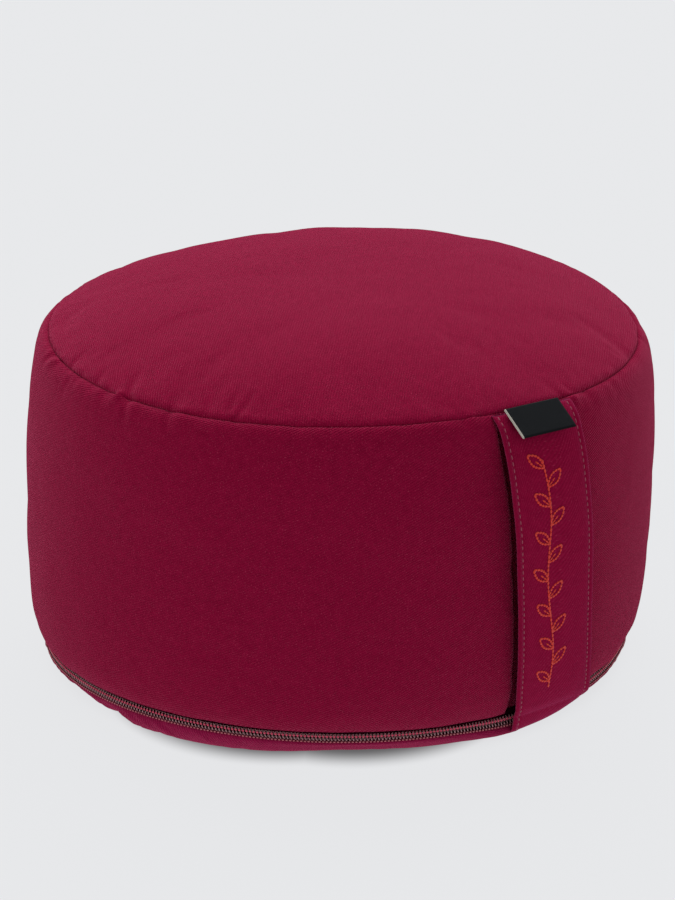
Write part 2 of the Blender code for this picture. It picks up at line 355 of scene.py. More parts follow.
def settled(radius, degrees, height):
    """A point of the round cushion where it lies on the settled one, in metres."""
    share = min(max((height - ZIP_TOP) / (SEAM_HEIGHT - ZIP_TOP), 0.0), 1.0)
    foot = min(max(height / ZIP_BOTTOM, 0.0), 1.0)
    rim = min(radius / SEAM_RADIUS, 1.0)
    lift = wave("zip height", degrees) * foot * (1 - share) * rim**2
    lift += wave("seam height", degrees) * share * rim**2
    below = min(max((ZIP_TOP - height) / (ZIP_TOP - ZIP_BOTTOM), 0.0), 1.0)
    lift -= SAG_DEPTH * math.exp(-(((degrees - SAG_ANGLE) / SAG_WIDTH) ** 2)) * below * foot * rim**2
    out = wave("zip radius", degrees) * (1 - share) ** 2 * rim**2
    out -= wave("base tuck", degrees) * (1 - foot) * rim**2
    around, leaning = math.radians(degrees), math.radians(LEAN_TOWARDS)
    return Vector(
        (
            (radius + out) * math.sin(around) + LEAN * share * math.sin(leaning),
            -(radius + out) * math.cos(around) - LEAN * share * math.cos(leaning),
            height + lift,
        )
    ) * MM


# %% Settling a whole piece
def turn_of(co):
    """The angle of a point round the cushion, in degrees from the handle."""
    return math.degrees(math.atan2(co.x, -co.y))


def settle(mesh):
    """Moves a bmesh that was shaped on the round cushion, in millimetres, to its place."""
    for vert in mesh.verts:
        vert.co = settled(math.hypot(vert.co.x, vert.co.y), turn_of(vert.co), vert.co.z)


print("seam at the handle:", tuple(round(x * 1000, 1) for x in settled(SEAM_RADIUS, 0, SEAM_HEIGHT)))

# %% [markdown]
# ## The handle's route
#
# The handle is a strap that comes out of the top seam, stands a few millimetres off the side and
# is sewn into the seam below the zip. Its route is set out before the cover is made, because the
# cover has to know where the strap runs: the filled band lies lower behind the strap than on
# both sides of it.

# %% The handle's route
HANDLE_WIDTH = 44.0
HANDLE_THICK = 2.0
HANDLE_FLATNESS = 0.3       # its edges stand off the curve of the side by this share of the curve
TUCK_EASE = 7.0             # below the zip's upper edge the strap draws in over this height

# height, stand-off of its inner face, drift in degrees
HANDLE_ROUTE = (
    (160.4, -0.9, -3.1), (158.4, 0.4, -3.1), (152.0, 2.3, -3.05), (142.0, 4.2, -2.85),
    (128.0, 5.7, -2.5), (110.0, 6.4, -1.8), (90.0, 6.5, -1.2), (70.0, 6.3, -0.5),
    (50.0, 5.2, 0.35), (34.0, 4.1, 1.2), (24.0, 3.6, 1.95), (16.0, 3.5, 2.8), (10.0, 2.1, 3.45),
    (6.2, 0.4, 4.0),
)


def handle_point(across, height, lift):
    """A point across mm from the handle's middle and lift mm out from its middle layer."""
    body = HEM_RADIUS if height < ZIP_TOP + HEM_ROUND else side_radius(height)
    body -= (HEM_RADIUS - TUCK_RADIUS) * min(max((ZIP_TOP - height) / TUCK_EASE, 0.0), 1.0)
    radius = body + read_table(HANDLE_ROUTE, height, 1) + HANDLE_THICK / 2
    turn = across / radius
    radius += HANDLE_FLATNESS * radius * (1 - math.cos(turn)) + lift
    return settled(radius, read_table(HANDLE_ROUTE, height, 2) + math.degrees(turn), height)


print(f"handle {HANDLE_WIDTH:.0f} mm wide on a route of {len(HANDLE_ROUTE)} points")

# %% [markdown]
# ## Twill
#
# The cover is cotton twill. In twill each yarn floats over two and dips under one, a step
# further along in every row, so the floats line up in fine slanting ribs. A plain colour would
# look like plastic; the ribs, the yarns across them and the slight mottle of dyed cotton are
# what make it cloth. The group works in metres on the cloth itself, so the ribs keep one size
# on every panel.


# %% The twill group
def build_twill_group():
    tree, given, result = new_group(
        "twill_weave",
        [
            ("Cloth Position", "Vector", None), ("Rib Pitch", "Float", 0.0011),
            ("Rib Slope", "Float", 0.47), ("Yarn Pitch", "Float", 0.0007),
        ],
        ["Height", "Shade", "Mottle", "Fleck"],
    )
    cloth = given["Cloth Position"]
    u, v = add(tree, "ShaderNodeSeparateXYZ", [(0, cloth)]).outputs[:2]
    cosine = maths(tree, "COSINE", given["Rib Slope"])
    sine = maths(tree, "SINE", given["Rib Slope"])
    wander = maths(tree, "MULTIPLY", clouds(tree, cloth, 55.0, 2.0), 1.3)
    up = maths(tree, "SUBTRACT", maths(tree, "MULTIPLY", v, cosine), maths(tree, "MULTIPLY", u, sine))
    ribs = maths(tree, "ADD", maths(tree, "DIVIDE", up, given["Rib Pitch"]), wander)
    on = maths(tree, "ADD", maths(tree, "MULTIPLY", u, cosine), maths(tree, "MULTIPLY", v, sine))
    yarns = maths(tree, "DIVIDE", on, given["Yarn Pitch"])
    yarns = maths(tree, "ADD", yarns, maths(tree, "MULTIPLY", ribs, 0.37))

    def ridge(count):
        turned = maths(tree, "COSINE", maths(tree, "MULTIPLY", count, math.tau))
        return maths(tree, "MULTIPLY_ADD", turned, 0.5, 0.5)

    bead = maths(tree, "MULTIPLY_ADD", ridge(yarns), 0.35, 0.65)
    bead = maths(tree, "MULTIPLY", ridge(ribs), bead)
    slub = clouds(tree, cloth, 1500.0, 2.0)
    feed(tree, result, [
        ("Height", maths(tree, "MULTIPLY_ADD", slub, 0.9, maths(tree, "MULTIPLY", bead, 0.55))),
        ("Shade", maths(tree, "MULTIPLY_ADD", slub, 0.3, maths(tree, "MULTIPLY_ADD", bead, 0.30, 0.21))),
        ("Mottle", clouds(tree, cloth, 260.0, 4.0)),
        ("Fleck", ramp(tree, slub, 0.60, 0.72, 0.0, 1.0)),
    ])
    return tree


twill_weave = build_twill_group()
print("twill group:", len(twill_weave.nodes), "nodes")

# %% [markdown]
# ## The cloth finishes
#
# Dyed burgundy cotton is almost black in the gaps between its yarns and rosy on top of them.
# Its short fibres stand up and catch light that grazes past, which gives the pale rim on the
# sides of the cushion. That is sheen, and it is set on the shader itself. Here and there a pale
# fleck is a loose fibre and also painted sheen on the fibres. The handle is topstitched flat, so
# its pile is shorter. The base panel's twill is a paler copy of the cover's: painted light from
# the white floor below it.

# %% Burgundy twill
BURGUNDY_DEEP = (0.128, 0.0012, 0.0147, 1)
BURGUNDY_TOP = (0.305, 0.0042, 0.0435, 1)
SHEEN_TINT = (1.0, 0.22, 0.38, 1)
STRAP_SHEEN_TINT = (1.0, 0.24, 0.58, 1)
# the base panel's twill: the same cloth painted paler, as painted light from the floor below it
BASE_DEEP_PAINTED_FLOOR_LIGHT = (0.150, 0.0035, 0.0260, 1)
BASE_TOP_PAINTED_FLOOR_LIGHT = (0.330, 0.0110, 0.0720, 1)
# pale flecks: loose fibres, and also painted sheen on the fibres
LINT_AND_SHEEN_FLECK = (1.00, 0.18, 0.32, 1)
FLECK_SHARE = 0.14


def cloth_finish(name, deep, top, slope, sheen=0.40, relief=0.0005, flecks=FLECK_SHARE, tint=SHEEN_TINT):
    """A twill material that follows the piece's own cloth map; its ribs slope by some degrees."""
    material, tree, shader = new_material(name)
    cloth_map = add(tree, "ShaderNodeUVMap", uv_map="cloth").outputs[0]
    feeds = [("Cloth Position", cloth_map), ("Rib Slope", math.radians(slope))]
    weave = add(tree, "ShaderNodeGroup", feeds, node_tree=twill_weave).outputs
    colour = blend_colours(tree, weave["Shade"], deep, top)
    fade = maths(tree, "MULTIPLY_ADD", weave["Mottle"], 0.44, -0.09)
    colour = blend_colours(tree, fade, colour, toned(top, 1.35, 0.004))
    # pale flecks of loose fibre and of painted sheen
    lint_and_sheen_share = maths(tree, "MULTIPLY", weave["Fleck"], flecks)
    feed(tree, shader, [
        ("Base Color", blend_colours(tree, lint_and_sheen_share, colour, LINT_AND_SHEEN_FLECK)),
        ("Roughness", maths(tree, "MULTIPLY_ADD", weave["Shade"], -0.12, 0.92)),
        ("Normal", bumped(tree, weave["Height"], relief)),
        ("Specular IOR Level", 0.0), ("Sheen Weight", sheen), ("Sheen Roughness", 0.38),
        ("Sheen Tint", tint),
    ])
    return material


cover_twill = cloth_finish("cover_twill", BURGUNDY_DEEP, BURGUNDY_TOP, 27)
strap_twill = cloth_finish(
    "strap_twill", BURGUNDY_DEEP, BURGUNDY_TOP, 62, sheen=0.36, relief=0.0002, flecks=0.10,
    tint=STRAP_SHEEN_TINT,
)
base_twill_painted_floor_light = cloth_finish("base_twill_painted_floor_light", BASE_DEEP_PAINTED_FLOOR_LIGHT, BASE_TOP_PAINTED_FLOOR_LIGHT, 27)
print("made", cover_twill.name, strap_twill.name, "and", base_twill_painted_floor_light.name)

# %% [markdown]
# ## The cover, panel by panel
#
# Top panel, side band and base panel are cut flat and sewn together inside out. Turned and
# filled, the cloth dives into each seam. Spinning one outline round the axis makes all three at
# once. The outline's rows crowd together at the seams, where the cloth bends most, and spread
# out over the plain stretches. Each strip of faces remembers its panel, and a UV map in metres
# lays the twill on the panels as it was cut: straight across the top and base, and round the
# band.

# %% The cover's outline
STEPS_ROUND = 720
FINE_STEP = 0.35            # spacing of the rows beside a seam
STEP_GROWTH = 0.06          # and how quickly it grows away from it
BAND_SPLIT = 98.0           # rows below this distance from the top seam are counted from the hem
HEM_ROUND = 1.0
GROOVE_DEPTH = 4.3

def spaced_from_seam(reach):
    """Distances from a seam, close together beside it."""
    found, k = [], 1
    while FINE_STEP * k + STEP_GROWTH * k**2 < reach:
        found.append(FINE_STEP * k + STEP_GROWTH * k**2)
        k += 1
    return found


def rounded(radius, across, low, high, turns):
    """An edge rounded in and down from radius: across wide and high tall, over the height low."""
    return [
        (radius - across * (1 - math.cos(turn)), low + high * (1 - math.sin(turn)))
        for turn in map(math.radians, turns)
    ]


def cover_outline():
    """Points (radius, height) from the top's middle to the base's, and each strip's panel."""
    crown = [(SEAM_RADIUS - d, crown_height(1 - d / SEAM_RADIUS)) for d in spaced_from_seam(SEAM_RADIUS)]
    points = [(0.0, crown_height(0.0))] + crown[::-1]
    panels = ["crown"] * len(points)
    band = [SEAM_HEIGHT - d for d in [0.0] + spaced_from_seam(BAND_SPLIT)]
    band += [ZIP_TOP + d for d in spaced_from_seam(SEAM_HEIGHT - ZIP_TOP - BAND_SPLIT)][::-1]
    points += [(side_radius(height), height) for height in band if height > ZIP_TOP + HEM_ROUND]
    points += rounded(HEM_RADIUS, HEM_ROUND, ZIP_TOP, HEM_ROUND, (0, 22, 45, 68, 90))
    points += [(HEM_RADIUS - depth, ZIP_TOP) for depth in (1.8, 3.0, GROOVE_DEPTH)]
    points += [(HEM_RADIUS - GROOVE_DEPTH, height) for height in (13.6, 11.8, ZIP_BOTTOM)]
    panels += ["band"] * (len(points) - len(panels))
    points += [(TUCK_RADIUS - depth, ZIP_BOTTOM) for depth in (2.2, 1.2, 0.5)]
    turns = (5, 10, 16, 22, 28, 34, 40, 46, 52, 58, 64, 70, 76, 82, 86, 90)
    points += rounded(TUCK_RADIUS, BASE_TUCK, 0.0, ZIP_BOTTOM, turns)
    flat = TUCK_RADIUS - BASE_TUCK
    points += [(flat * share, 0.0) for share in (0.97, 0.9, 0.8, 0.65, 0.5, 0.35, 0.2, 0.1, 0.0)]
    panels += ["base"] * (len(points) - len(panels) - 1)
    return points, panels


outline, strip_panels = cover_outline()
print(f"outline of {len(outline)} points, {STEPS_ROUND} steps round")


# %% Spin the cover
WEDGES = 12                 # a wedge is spun first and then copied round, which is far quicker


def copy_round(mesh, copies, merge):
    """Repeats all of a mesh round the axis, merges what meets and faces it outwards."""
    bmesh.ops.spin(
        mesh, geom=mesh.verts[:] + mesh.edges[:] + mesh.faces[:], cent=(0, 0, 0), axis=(0, 0, 1),
        angle=math.tau * (copies - 1) / copies, steps=copies - 1, use_duplicate=True,
    )
    bmesh.ops.remove_doubles(mesh, verts=mesh.verts, dist=merge)
    bmesh.ops.recalc_face_normals(mesh, faces=mesh.faces)


def spin_rows(points, closed, steps):
    """A bmesh turned round the axis from (radius, height) points; each vertex keeps its row."""
    mesh = bmesh.new()
    row = mesh.verts.layers.int.new("row")
    made = [mesh.verts.new((0.0, -radius, height)) for radius, height in points]
    for i, vert in enumerate(made):
        vert[row] = i
    for first, second in zip(made, made[1:] + made[:1] if closed else made[1:]):
        mesh.edges.new((first, second))
    bmesh.ops.spin(
        mesh, geom=mesh.verts[:] + mesh.edges[:], cent=(0, 0, 0), axis=(0, 0, 1),
        angle=math.tau / WEDGES, steps=steps // WEDGES,
    )
    copy_round(mesh, WEDGES, 0.0005)
    return mesh


cover_mesh = spin_rows(outline, False, STEPS_ROUND)
print(f"cover: {len(cover_mesh.verts)} vertices, {len(cover_mesh.faces)} faces")

# %% Map its cloth
GRAIN_TURN = {"crown": math.radians(17), "base": math.radians(-30)}     # how the grain lies, from +X


def turn_near(co, middle):
    """The angle of a point, counted on past 180 degrees where that brings it nearer to middle."""
    degrees = turn_of(co)
    return degrees + 360 * round((middle - degrees) / 360)


def map_cover(mesh):
    """Writes the cloth map: metres across and along the panel that each face belongs to."""
    row = mesh.verts.layers.int["row"]
    cloth = mesh.loops.layers.uv.new("cloth")
    steps = [math.dist(first, second) for first, second in zip(outline, outline[1:])]
    lengths = np.concatenate([[0], np.cumsum(steps)])
    for face in mesh.faces:
        panel = strip_panels[min(vert[row] for vert in face.verts)]
        # the base panel takes the paler twill of painted floor light
        face.material_index = int(panel == "base")
        middle = turn_of(face.calc_center_median())
        for loop in face.loops:
            along = lengths[loop.vert[row]]
            if panel == "band":
                place = (math.radians(turn_near(loop.vert.co, middle)) * WIDEST_RADIUS, -along)
            else:
                from_middle = along if panel == "crown" else lengths[-1] - along
                turn = math.radians(turn_of(loop.vert.co)) - GRAIN_TURN[panel]
                place = (from_middle * math.sin(turn), -from_middle * math.cos(turn))
            loop[cloth].uv = (place[0] * MM, place[1] * MM)


map_cover(cover_mesh)
print(f"cloth mapped on {len(set(strip_panels))} panels")

# %% [markdown]
# ## Seams and puckers
#
# Where two layers are eased together under the needle the seam draws in, and short creases run
# out of it into both panels. A seam is an even valley, tight in some places and loose in
# others. A pucker is a short soft trough or ridge with a root, a tip, a width and a depth, so a
# table of them is enough. The ones named first are those that show from the front; the rest are
# scattered round the top seam from a fixed seed.

# %% Seam tightness and the table of puckers
SEAM_DEPTH = 1.5
SEAM_REACH = 3.4
SLIT_DEPTH = 1.3
SLIT_REACH = 0.9

# angle, how deep the top seam draws in there, as a share of its depth
SEAM_TIGHTNESS = (
    (-180, 1.0), (-140, 1.1), (-110, 1.5), (-96, 1.2), (-86, 0.7), (-84, 0.1), (-82.5, 0.3),
    (-81, 1.6), (-76, 1.2), (-60, 1.0), (-45, 0.8), (-25, 0.7), (-18, 0.35), (-12, 0.5),
    (0, 0.7), (12, 0.9), (27, 1.5), (46, 1.6), (70, 1.2), (120, 0.9), (180, 1.0),
)

# angle and distance from the top seam at the root and at the tip (distance up the crown is
# positive and down the band negative), width, depth (a ridge is negative)
PUCKERS = (
    (-82.0, 0.0, -84.8, 13.0, 2.2, 0.9),
    (-81.6, 0.0, -80.8, -9.0, 2.0, 0.7),
    (-84.2, -0.5, -84.6, -4.0, 2.6, -1.2),
    (-79.6, -2.0, -79.0, -9.0, 3.0, -0.5),
    (-72.0, 0.0, -71.0, -10.0, 1.8, 0.7),
    (-69.0, -1.0, -68.6, -8.0, 3.2, -0.4),
    (-71.5, 5.0, -75.0, 25.0, 4.5, 0.5),
    (-64.5, 3.0, -65.0, 16.0, 3.6, 0.4),
    (-60.5, 6.0, -60.6, 16.0, 1.5, 0.55),
    (-58.6, 0.0, -57.4, 16.0, 1.5, 0.75),
    (-47.0, 4.0, -47.6, 19.0, 3.6, 0.35),
    (-47.0, -1.0, -46.6, -9.0, 3.8, 0.5),
    (-36.0, 1.0, -36.6, 9.0, 2.4, 0.25),
    (-28.0, -1.0, -27.6, -7.0, 2.6, 0.3),
    (-17.6, -2.5, -17.4, 1.5, 1.6, 0.6),
    (-15.6, -0.5, -15.6, -4.0, 2.2, -0.6),
    (-107.0, -1.0, -109.6, -7.0, 2.0, -1.0),
    (-111.0, -1.0, -112.0, -7.0, 2.2, 1.1),
    (-101.5, 0.0, -103.0, 9.0, 2.0, 0.6),
    (-97.0, 0.0, -97.2, -8.0, 2.4, 0.6),
    (-99.0, -5.0, -99.6, -12.0, 2.6, 0.5),
    (-91.5, 0.0, -92.5, 9.0, 2.2, 0.45),
    (-87.6, -0.5, -87.6, -7.0, 2.2, 0.55),
    (-120.0, 10.0, -131.0, 9.0, 2.6, 0.5),
    (-119.0, 15.0, -134.0, 14.0, 3.0, 0.4),
    (7.5, 2.0, 7.4, 7.0, 1.6, 0.5),
    (7.4, -1.0, 7.6, -6.0, 2.4, -0.8),
    (11.0, -1.0, 11.6, -8.0, 2.4, 0.5),
    (19.0, 0.0, 20.0, -9.0, 2.8, 0.35),
    (32.5, 3.0, 38.0, 31.0, 5.0, 0.7),
    (46.0, 0.0, 44.5, -11.0, 2.6, 0.6),
    (53.0, 0.0, 68.0, 5.0, 2.4, 0.5),
    (52.0, -4.0, 64.0, -9.0, 3.0, 0.5),
)
NAMED_DEPTH = 1.5           # what the depths of the named ones are multiplied by
SCATTERED_PUCKERS = 150
SCATTER_SEED = 11


def scattered_puckers():
    """Small seeded puckers round the whole top seam, on both its sides."""
    draw = np.random.default_rng(SCATTER_SEED)
    rows = []
    for _ in range(SCATTERED_PUCKERS):
        angle = draw.uniform(-180, 180)
        side = draw.choice((-1, 1))
        length = draw.uniform(4, 15)
        width = draw.uniform(1.4, 3.4)
        depth = draw.uniform(-0.22, 0.34)
        tip = angle + draw.uniform(-1.6, 1.6)
        rows.append((angle, side * 0.5, tip, side * length, width, depth))
    return rows


print(len(PUCKERS), "puckers by name and", SCATTERED_PUCKERS, "scattered")


# %% How the cover is pressed in
BACK_SEAM_DEPTH = 1.3
BACK_SEAM_REACH = 3.0
TIP_FADE = 0.65             # how much weaker a pucker is at its tip
HEM_WAVER = 0.9             # how far the cloth wanders in and out beside the zip
HEM_REACH = 12.0
HOLLOW_SLOPE = 2.6
# behind the handle: height, how far inside the handle's edge the hollow starts, its depth
HOLLOW = (
    (15.4, -1.5, 4.5), (17.5, -1.5, 4.5), (22.0, -0.3, 6.0), (30.0, 1.3, 8.0), (60.0, 3.2, 8.0),
    (125.0, 3.4, 8.0), (140.0, 1.6, 7.5), (152.0, 0.0, 5.0), (158.0, -1.2, 3.0), (161.3, -1.2, 0.0),
)
FOOT_LIFT = 1.3             # how far the gathered base panel lifts off the floor between its folds
FOOT_FOLDS = 1.1
GATHER_FROM, GATHER_FULL = 118.0, 133.0     # radius where the gathers start and where they are whole

# angle, how strongly the base panel is gathered there, how far its edge is lifted and drawn in
FOOT = (
    (-180, 0.0, 0.0, 0.0), (-172, 0.7, 0.0, 0.0), (-130, 0.8, 0.4, 0.4), (-104, 1.0, 1.6, 1.6),
    (-97, 1.0, 1.5, 1.4), (-92, 1.0, 1.2, 1.0), (-88, 1.0, 1.0, 0.8), (-84, 1.0, 1.6, 1.4),
    (-81, 1.0, 0.0, -0.3), (-76, 0.9, 0.0, -0.4), (-70, 0.6, 0.0, -0.3), (-60, 0.35, 0.1, 0.1),
    (-50, 0.2, 0.7, 0.7), (-44, 0.15, 1.3, 1.4), (-38, 0.15, 1.6, 1.8), (-32, 0.15, 1.4, 1.6),
    (-22, 0.15, 0.7, 0.7), (-16, 0.15, 0.4, 0.4), (-12, 0.15, 0.2, -0.3), (-7, 0.15, 0.0, -1.6),
    (-3, 0.15, 0.0, -1.8), (1, 0.2, 0.0, 0.0), (6, 0.3, 0.2, 1.2), (11, 0.3, 0.5, 1.8),
    (22, 0.4, 0.7, 0.9), (40, 0.5, 0.6, 1.0), (70, 0.7, 0.0, 0.0), (172, 0.7, 0.0, 0.0),
    (180, 0.0, 0.0, 0.0),
)


# %% What presses and gathers the cloth
def segment_fade(arc, away, root, tip, width):
    """1 along a line from root to tip on the flattened cloth, fading to 0 past width."""
    line = np.subtract(tip, root)
    along = ((arc - root[0]) * line[0] + (away - root[1]) * line[1]) / (line @ line)
    along = np.clip(along, 0, 1)
    gap = np.hypot(arc - root[0] - along * line[0], away - root[1] - along * line[1])
    return np.exp(-((gap / width) ** 2)) * (1 - TIP_FADE * along)


def valley(distance, depth, reach):
    """A trough with rounded shoulders that meets itself in a sharp line."""
    return depth * np.clip(1 - np.abs(distance) / reach, 0, 1) ** 2


def eased(x, start, end):
    """0 at start and 1 at end, with a soft step between."""
    t = np.clip((x - start) / (end - start), 0, 1)
    return t * t * (3 - 2 * t)


def hollow_behind_handle(degrees, height):
    """How much lower the side band lies at an angle and a height, behind the handle."""
    middle = np.interp(height, *np.array(sorted(HANDLE_ROUTE)).T[[0, 2]])
    inside = HANDLE_WIDTH / 2 - np.abs(np.radians(degrees - middle)) * WIDEST_RADIUS
    heights, edge, depth = np.array(HOLLOW).T
    start = np.interp(height, heights, edge)
    return np.interp(height, heights, depth) * eased(inside, start, start + HOLLOW_SLOPE)


def gather_foot(vert, degrees):
    """Bunches the turned-up edge of the base panel into small soft folds."""
    angles, *columns = np.array(FOOT).T
    strength, lifted, drawn_in = (float(np.interp(degrees, angles, column)) for column in columns)
    x, y, height = vert.co
    fold = noise.noise(Vector((x * 0.17, y * 0.17, 2.0)))
    at_edge = eased(math.hypot(x, y), GATHER_FROM, GATHER_FULL) * (1 - eased(height, 5.0, ZIP_BOTTOM))
    on_slope = eased(height, 0.5, 4.0) * (1 - eased(height, 7.5, ZIP_BOTTOM))
    slant = math.radians(degrees) * TUCK_RADIUS * 0.28 + height * 0.45
    crease = noise.noise(Vector((slant, height * 0.06, 7.0)))
    out = Vector((x, y, 0)).normalized()
    vert.co.z += float(at_edge) * (lifted + FOOT_LIFT * strength * max(0.0, fold + 0.12))
    vert.co += out * float(FOOT_FOLDS * strength * crease * on_slope - drawn_in * at_edge)


# %% Press the seams and puckers into the cover
def press_cover(mesh):
    """Moves the round cover's vertices along their normals, before it is settled."""
    row = mesh.verts.layers.int["row"]
    rows = np.array([vert[row] for vert in mesh.verts])
    co = np.array([vert.co for vert in mesh.verts])
    normal = np.array([vert.normal for vert in mesh.verts])
    height, radius = co[:, 2], np.hypot(co[:, 0], co[:, 1])
    degrees = np.degrees(np.arctan2(co[:, 0], -co[:, 1]))
    seam_row = strip_panels.index("band")
    below = rows > seam_row
    away = np.where(below, -1, 1) * np.hypot(radius - SEAM_RADIUS, height - SEAM_HEIGHT)
    arc = np.radians(degrees) * SEAM_RADIUS
    tightness = np.interp(degrees, *np.array(SEAM_TIGHTNESS).T)
    press = valley(away, SEAM_DEPTH, SEAM_REACH) * tightness**0.5
    press += valley(away, SLIT_DEPTH, SLIT_REACH) * tightness
    named = [(*pucker[:5], pucker[5] * NAMED_DEPTH) for pucker in PUCKERS]
    for angle, start, tip_angle, end, width, depth in named + scattered_puckers():
        root = (math.radians(angle) * SEAM_RADIUS, start)
        tip = (math.radians(tip_angle) * SEAM_RADIUS, end)
        press += depth * segment_fade(arc, away, root, tip, width)
    from_back = (180 - np.abs(degrees)) * math.pi / 180 * WIDEST_RADIUS
    press += below * (height > ZIP_TOP + 0.5) * valley(from_back, BACK_SEAM_DEPTH, BACK_SEAM_REACH)
    behind = HEM_RADIUS - GROOVE_DEPTH + 0.05
    hollow = np.minimum(hollow_behind_handle(degrees, height), radius - behind)
    hollow = hollow * (below & (height > ZIP_TOP - 0.1) & (radius > behind))
    base_row = strip_panels.index("base") + 1
    for i, vert in enumerate(mesh.verts):
        out = Vector((vert.co.x, vert.co.y, 0)).normalized()
        vert.co -= Vector(normal[i]) * press[i] + out * hollow[i]
        if rows[i] > base_row and radius[i] > GATHER_FROM:
            gather_foot(vert, degrees[i])
        near_hem = max(0.0, 1 - abs(vert.co.z - ZIP_TOP) / HEM_REACH)
        vert.co += out * noise.noise(out * 9.0) * HEM_WAVER * near_hem
    return rows


cover_mesh.normal_update()
cover_rows = press_cover(cover_mesh)
settle(cover_mesh)
cover = put("cushion_cover", cover_mesh, cover_twill)
cover.data.materials.append(base_twill_painted_floor_light)
print("cover pressed and settled")

# %% [markdown]
# ## How the filling pushes the cloth
#
# Hulls press the cloth outwards from inside, and the sewn lines hold it back, so it swells and
# wanders between them in a way that is hard to draw by hand. A cloth simulation does it: a
# coarse copy of the cushion, pinned along its seams and its foot, is blown up by a little
# pressure, with some of its cloth a shade too loose and some too tight. Only the uneven part of
# that swelling is kept, and it is passed on to the fine cover, which so keeps its seams and map.

# %% Swell a coarse copy
VOXEL = 0.005
PRESSURE = 4.0
FRAMES = 20
SLACK = -0.02
TAUT = 0.012
SHARE_KEPT = 0.45           # a well filled cushion is nearly smooth
LARGEST_MOVE = 1.0 * MM
PINNED_OVER_ZIP = 4.0       # the cloth is held this far over the zip
PINNED_AT_SEAM = 7.0        # and, less and less, this far from the top seam
EASE_GRAIN = 38.0           # how quickly loose cloth changes to tight


def coarse_copy():
    """The plain cushion as one even net of quads."""
    mesh = bmesh.new()
    mesh.from_mesh(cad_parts["cushion"].data)
    bmesh.ops.remove_doubles(mesh, verts=mesh.verts, dist=0.01 * MM)
    coarse = put("coarse", mesh)
    remesh = coarse.modifiers.new("voxels", "REMESH")
    remesh.mode = "VOXEL"
    remesh.voxel_size = VOXEL
    net = bpy.data.meshes.new_from_object(coarse.evaluated_get(bpy.context.evaluated_depsgraph_get()))
    coarse.modifiers.clear()
    coarse.data = net
    return coarse


# %% Blow it up a little
def swell(coarse):
    """Runs the simulation; returns where each vertex was and how far it went."""
    before = np.array([vert.co for vert in coarse.data.vertices])
    sewn = coarse.vertex_groups.new(name="sewn")
    ease = coarse.vertex_groups.new(name="ease")
    for vert in coarse.data.vertices:
        radius, height = math.hypot(vert.co.x, vert.co.y) / MM, vert.co.z / MM
        from_seam = math.hypot(radius - SEAM_RADIUS, height - SEAM_HEIGHT)
        held = 1.0 if height < ZIP_TOP + PINNED_OVER_ZIP else max(0.0, 1 - from_seam / PINNED_AT_SEAM)
        sewn.add([vert.index], held, "REPLACE")
        ease.add([vert.index], 0.5 + 0.5 * noise.noise(vert.co * EASE_GRAIN), "REPLACE")
    settings = coarse.modifiers.new("cloth", "CLOTH").settings
    settings.use_pressure = True
    settings.uniform_pressure_force = PRESSURE
    settings.vertex_group_mass = "sewn"
    settings.vertex_group_shrink = "ease"
    settings.shrink_min = SLACK
    settings.shrink_max = TAUT
    settings.effector_weights.gravity = 0
    for step in range(1, FRAMES + 1):
        bpy.context.scene.frame_set(step)
    moved = coarse.evaluated_get(bpy.context.evaluated_depsgraph_get()).to_mesh()
    after = np.array([vert.co for vert in moved.vertices])
    bpy.context.scene.frame_set(1)
    return before, after - before


# %% Pass the swelling on to the cover
def pass_on(piece, rows, before, moves):
    """Adds the uneven part of the swelling to the fine piece, and returns the largest move."""
    tree = KDTree(len(before))
    for i, place in enumerate(before):
        tree.insert(place, i)
    tree.balance()
    outward = np.array([tuple(normal.vector) for normal in piece.data.vertex_normals])
    swelling = np.zeros(len(outward))
    for i, vert in enumerate(piece.data.vertices):
        near = tree.find_n(vert.co, 5)
        weight = np.array([1 / (gap + 0.001) ** 2 for _, _, gap in near])
        move = (moves[[k for _, k, _ in near]] * weight[:, None]).sum(0) / weight.sum()
        swelling[i] = move @ outward[i]
    mean = np.bincount(rows, swelling) / np.maximum(np.bincount(rows), 1)
    swelling = LARGEST_MOVE * np.tanh((swelling - mean[rows]) * SHARE_KEPT / LARGEST_MOVE)
    swelling[np.array([vert.co.z for vert in piece.data.vertices]) < ZIP_TOP * MM] = 0
    for i, vert in enumerate(piece.data.vertices):
        vert.co += Vector(outward[i]) * swelling[i]
    return np.abs(swelling).max()


coarse = coarse_copy()
places, moves = swell(coarse)
largest = pass_on(cover, cover_rows, places, moves)
bpy.data.objects.remove(coarse)
print(f"swollen on {len(places)} coarse vertices, uneven by up to {largest / MM:.2f} mm")

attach(cover, "root")
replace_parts(cover, "cushion")

# %% [markdown]
# ## The zip
#
# A coil zip is a spring of nylon thread flattened and sewn to the edge of a tape. Two such rows
# hook into each other, half a turn apart, so their slants lean opposite ways. Spinning a small
# circle with a forward step draws one turn of the spring, a scale makes it a little taller than
# deep, and a second spin, which copies instead of extruding, repeats it all the way round the foot.

# %% Thread and zip finishes
# pale grey-pink: the nylon's own colour lightened by a painted highlight of its glossy turns
NYLON_AND_PAINTED_HIGHLIGHT_COLOUR = (0.50, 0.25, 0.27, 1)
# near black: the tape's own dark colour, deepened as painted shade between the coil's turns
TAPE_DEEP = (0.012, 0.0006, 0.003, 1)
TAPE_TOP = (0.030, 0.001, 0.006, 1)
ROSE = (0.500, 0.085, 0.150, 1)
CRIMSON = (0.85, 0.085, 0.17, 1)
SALMON = (0.66, 0.19, 0.22, 1)


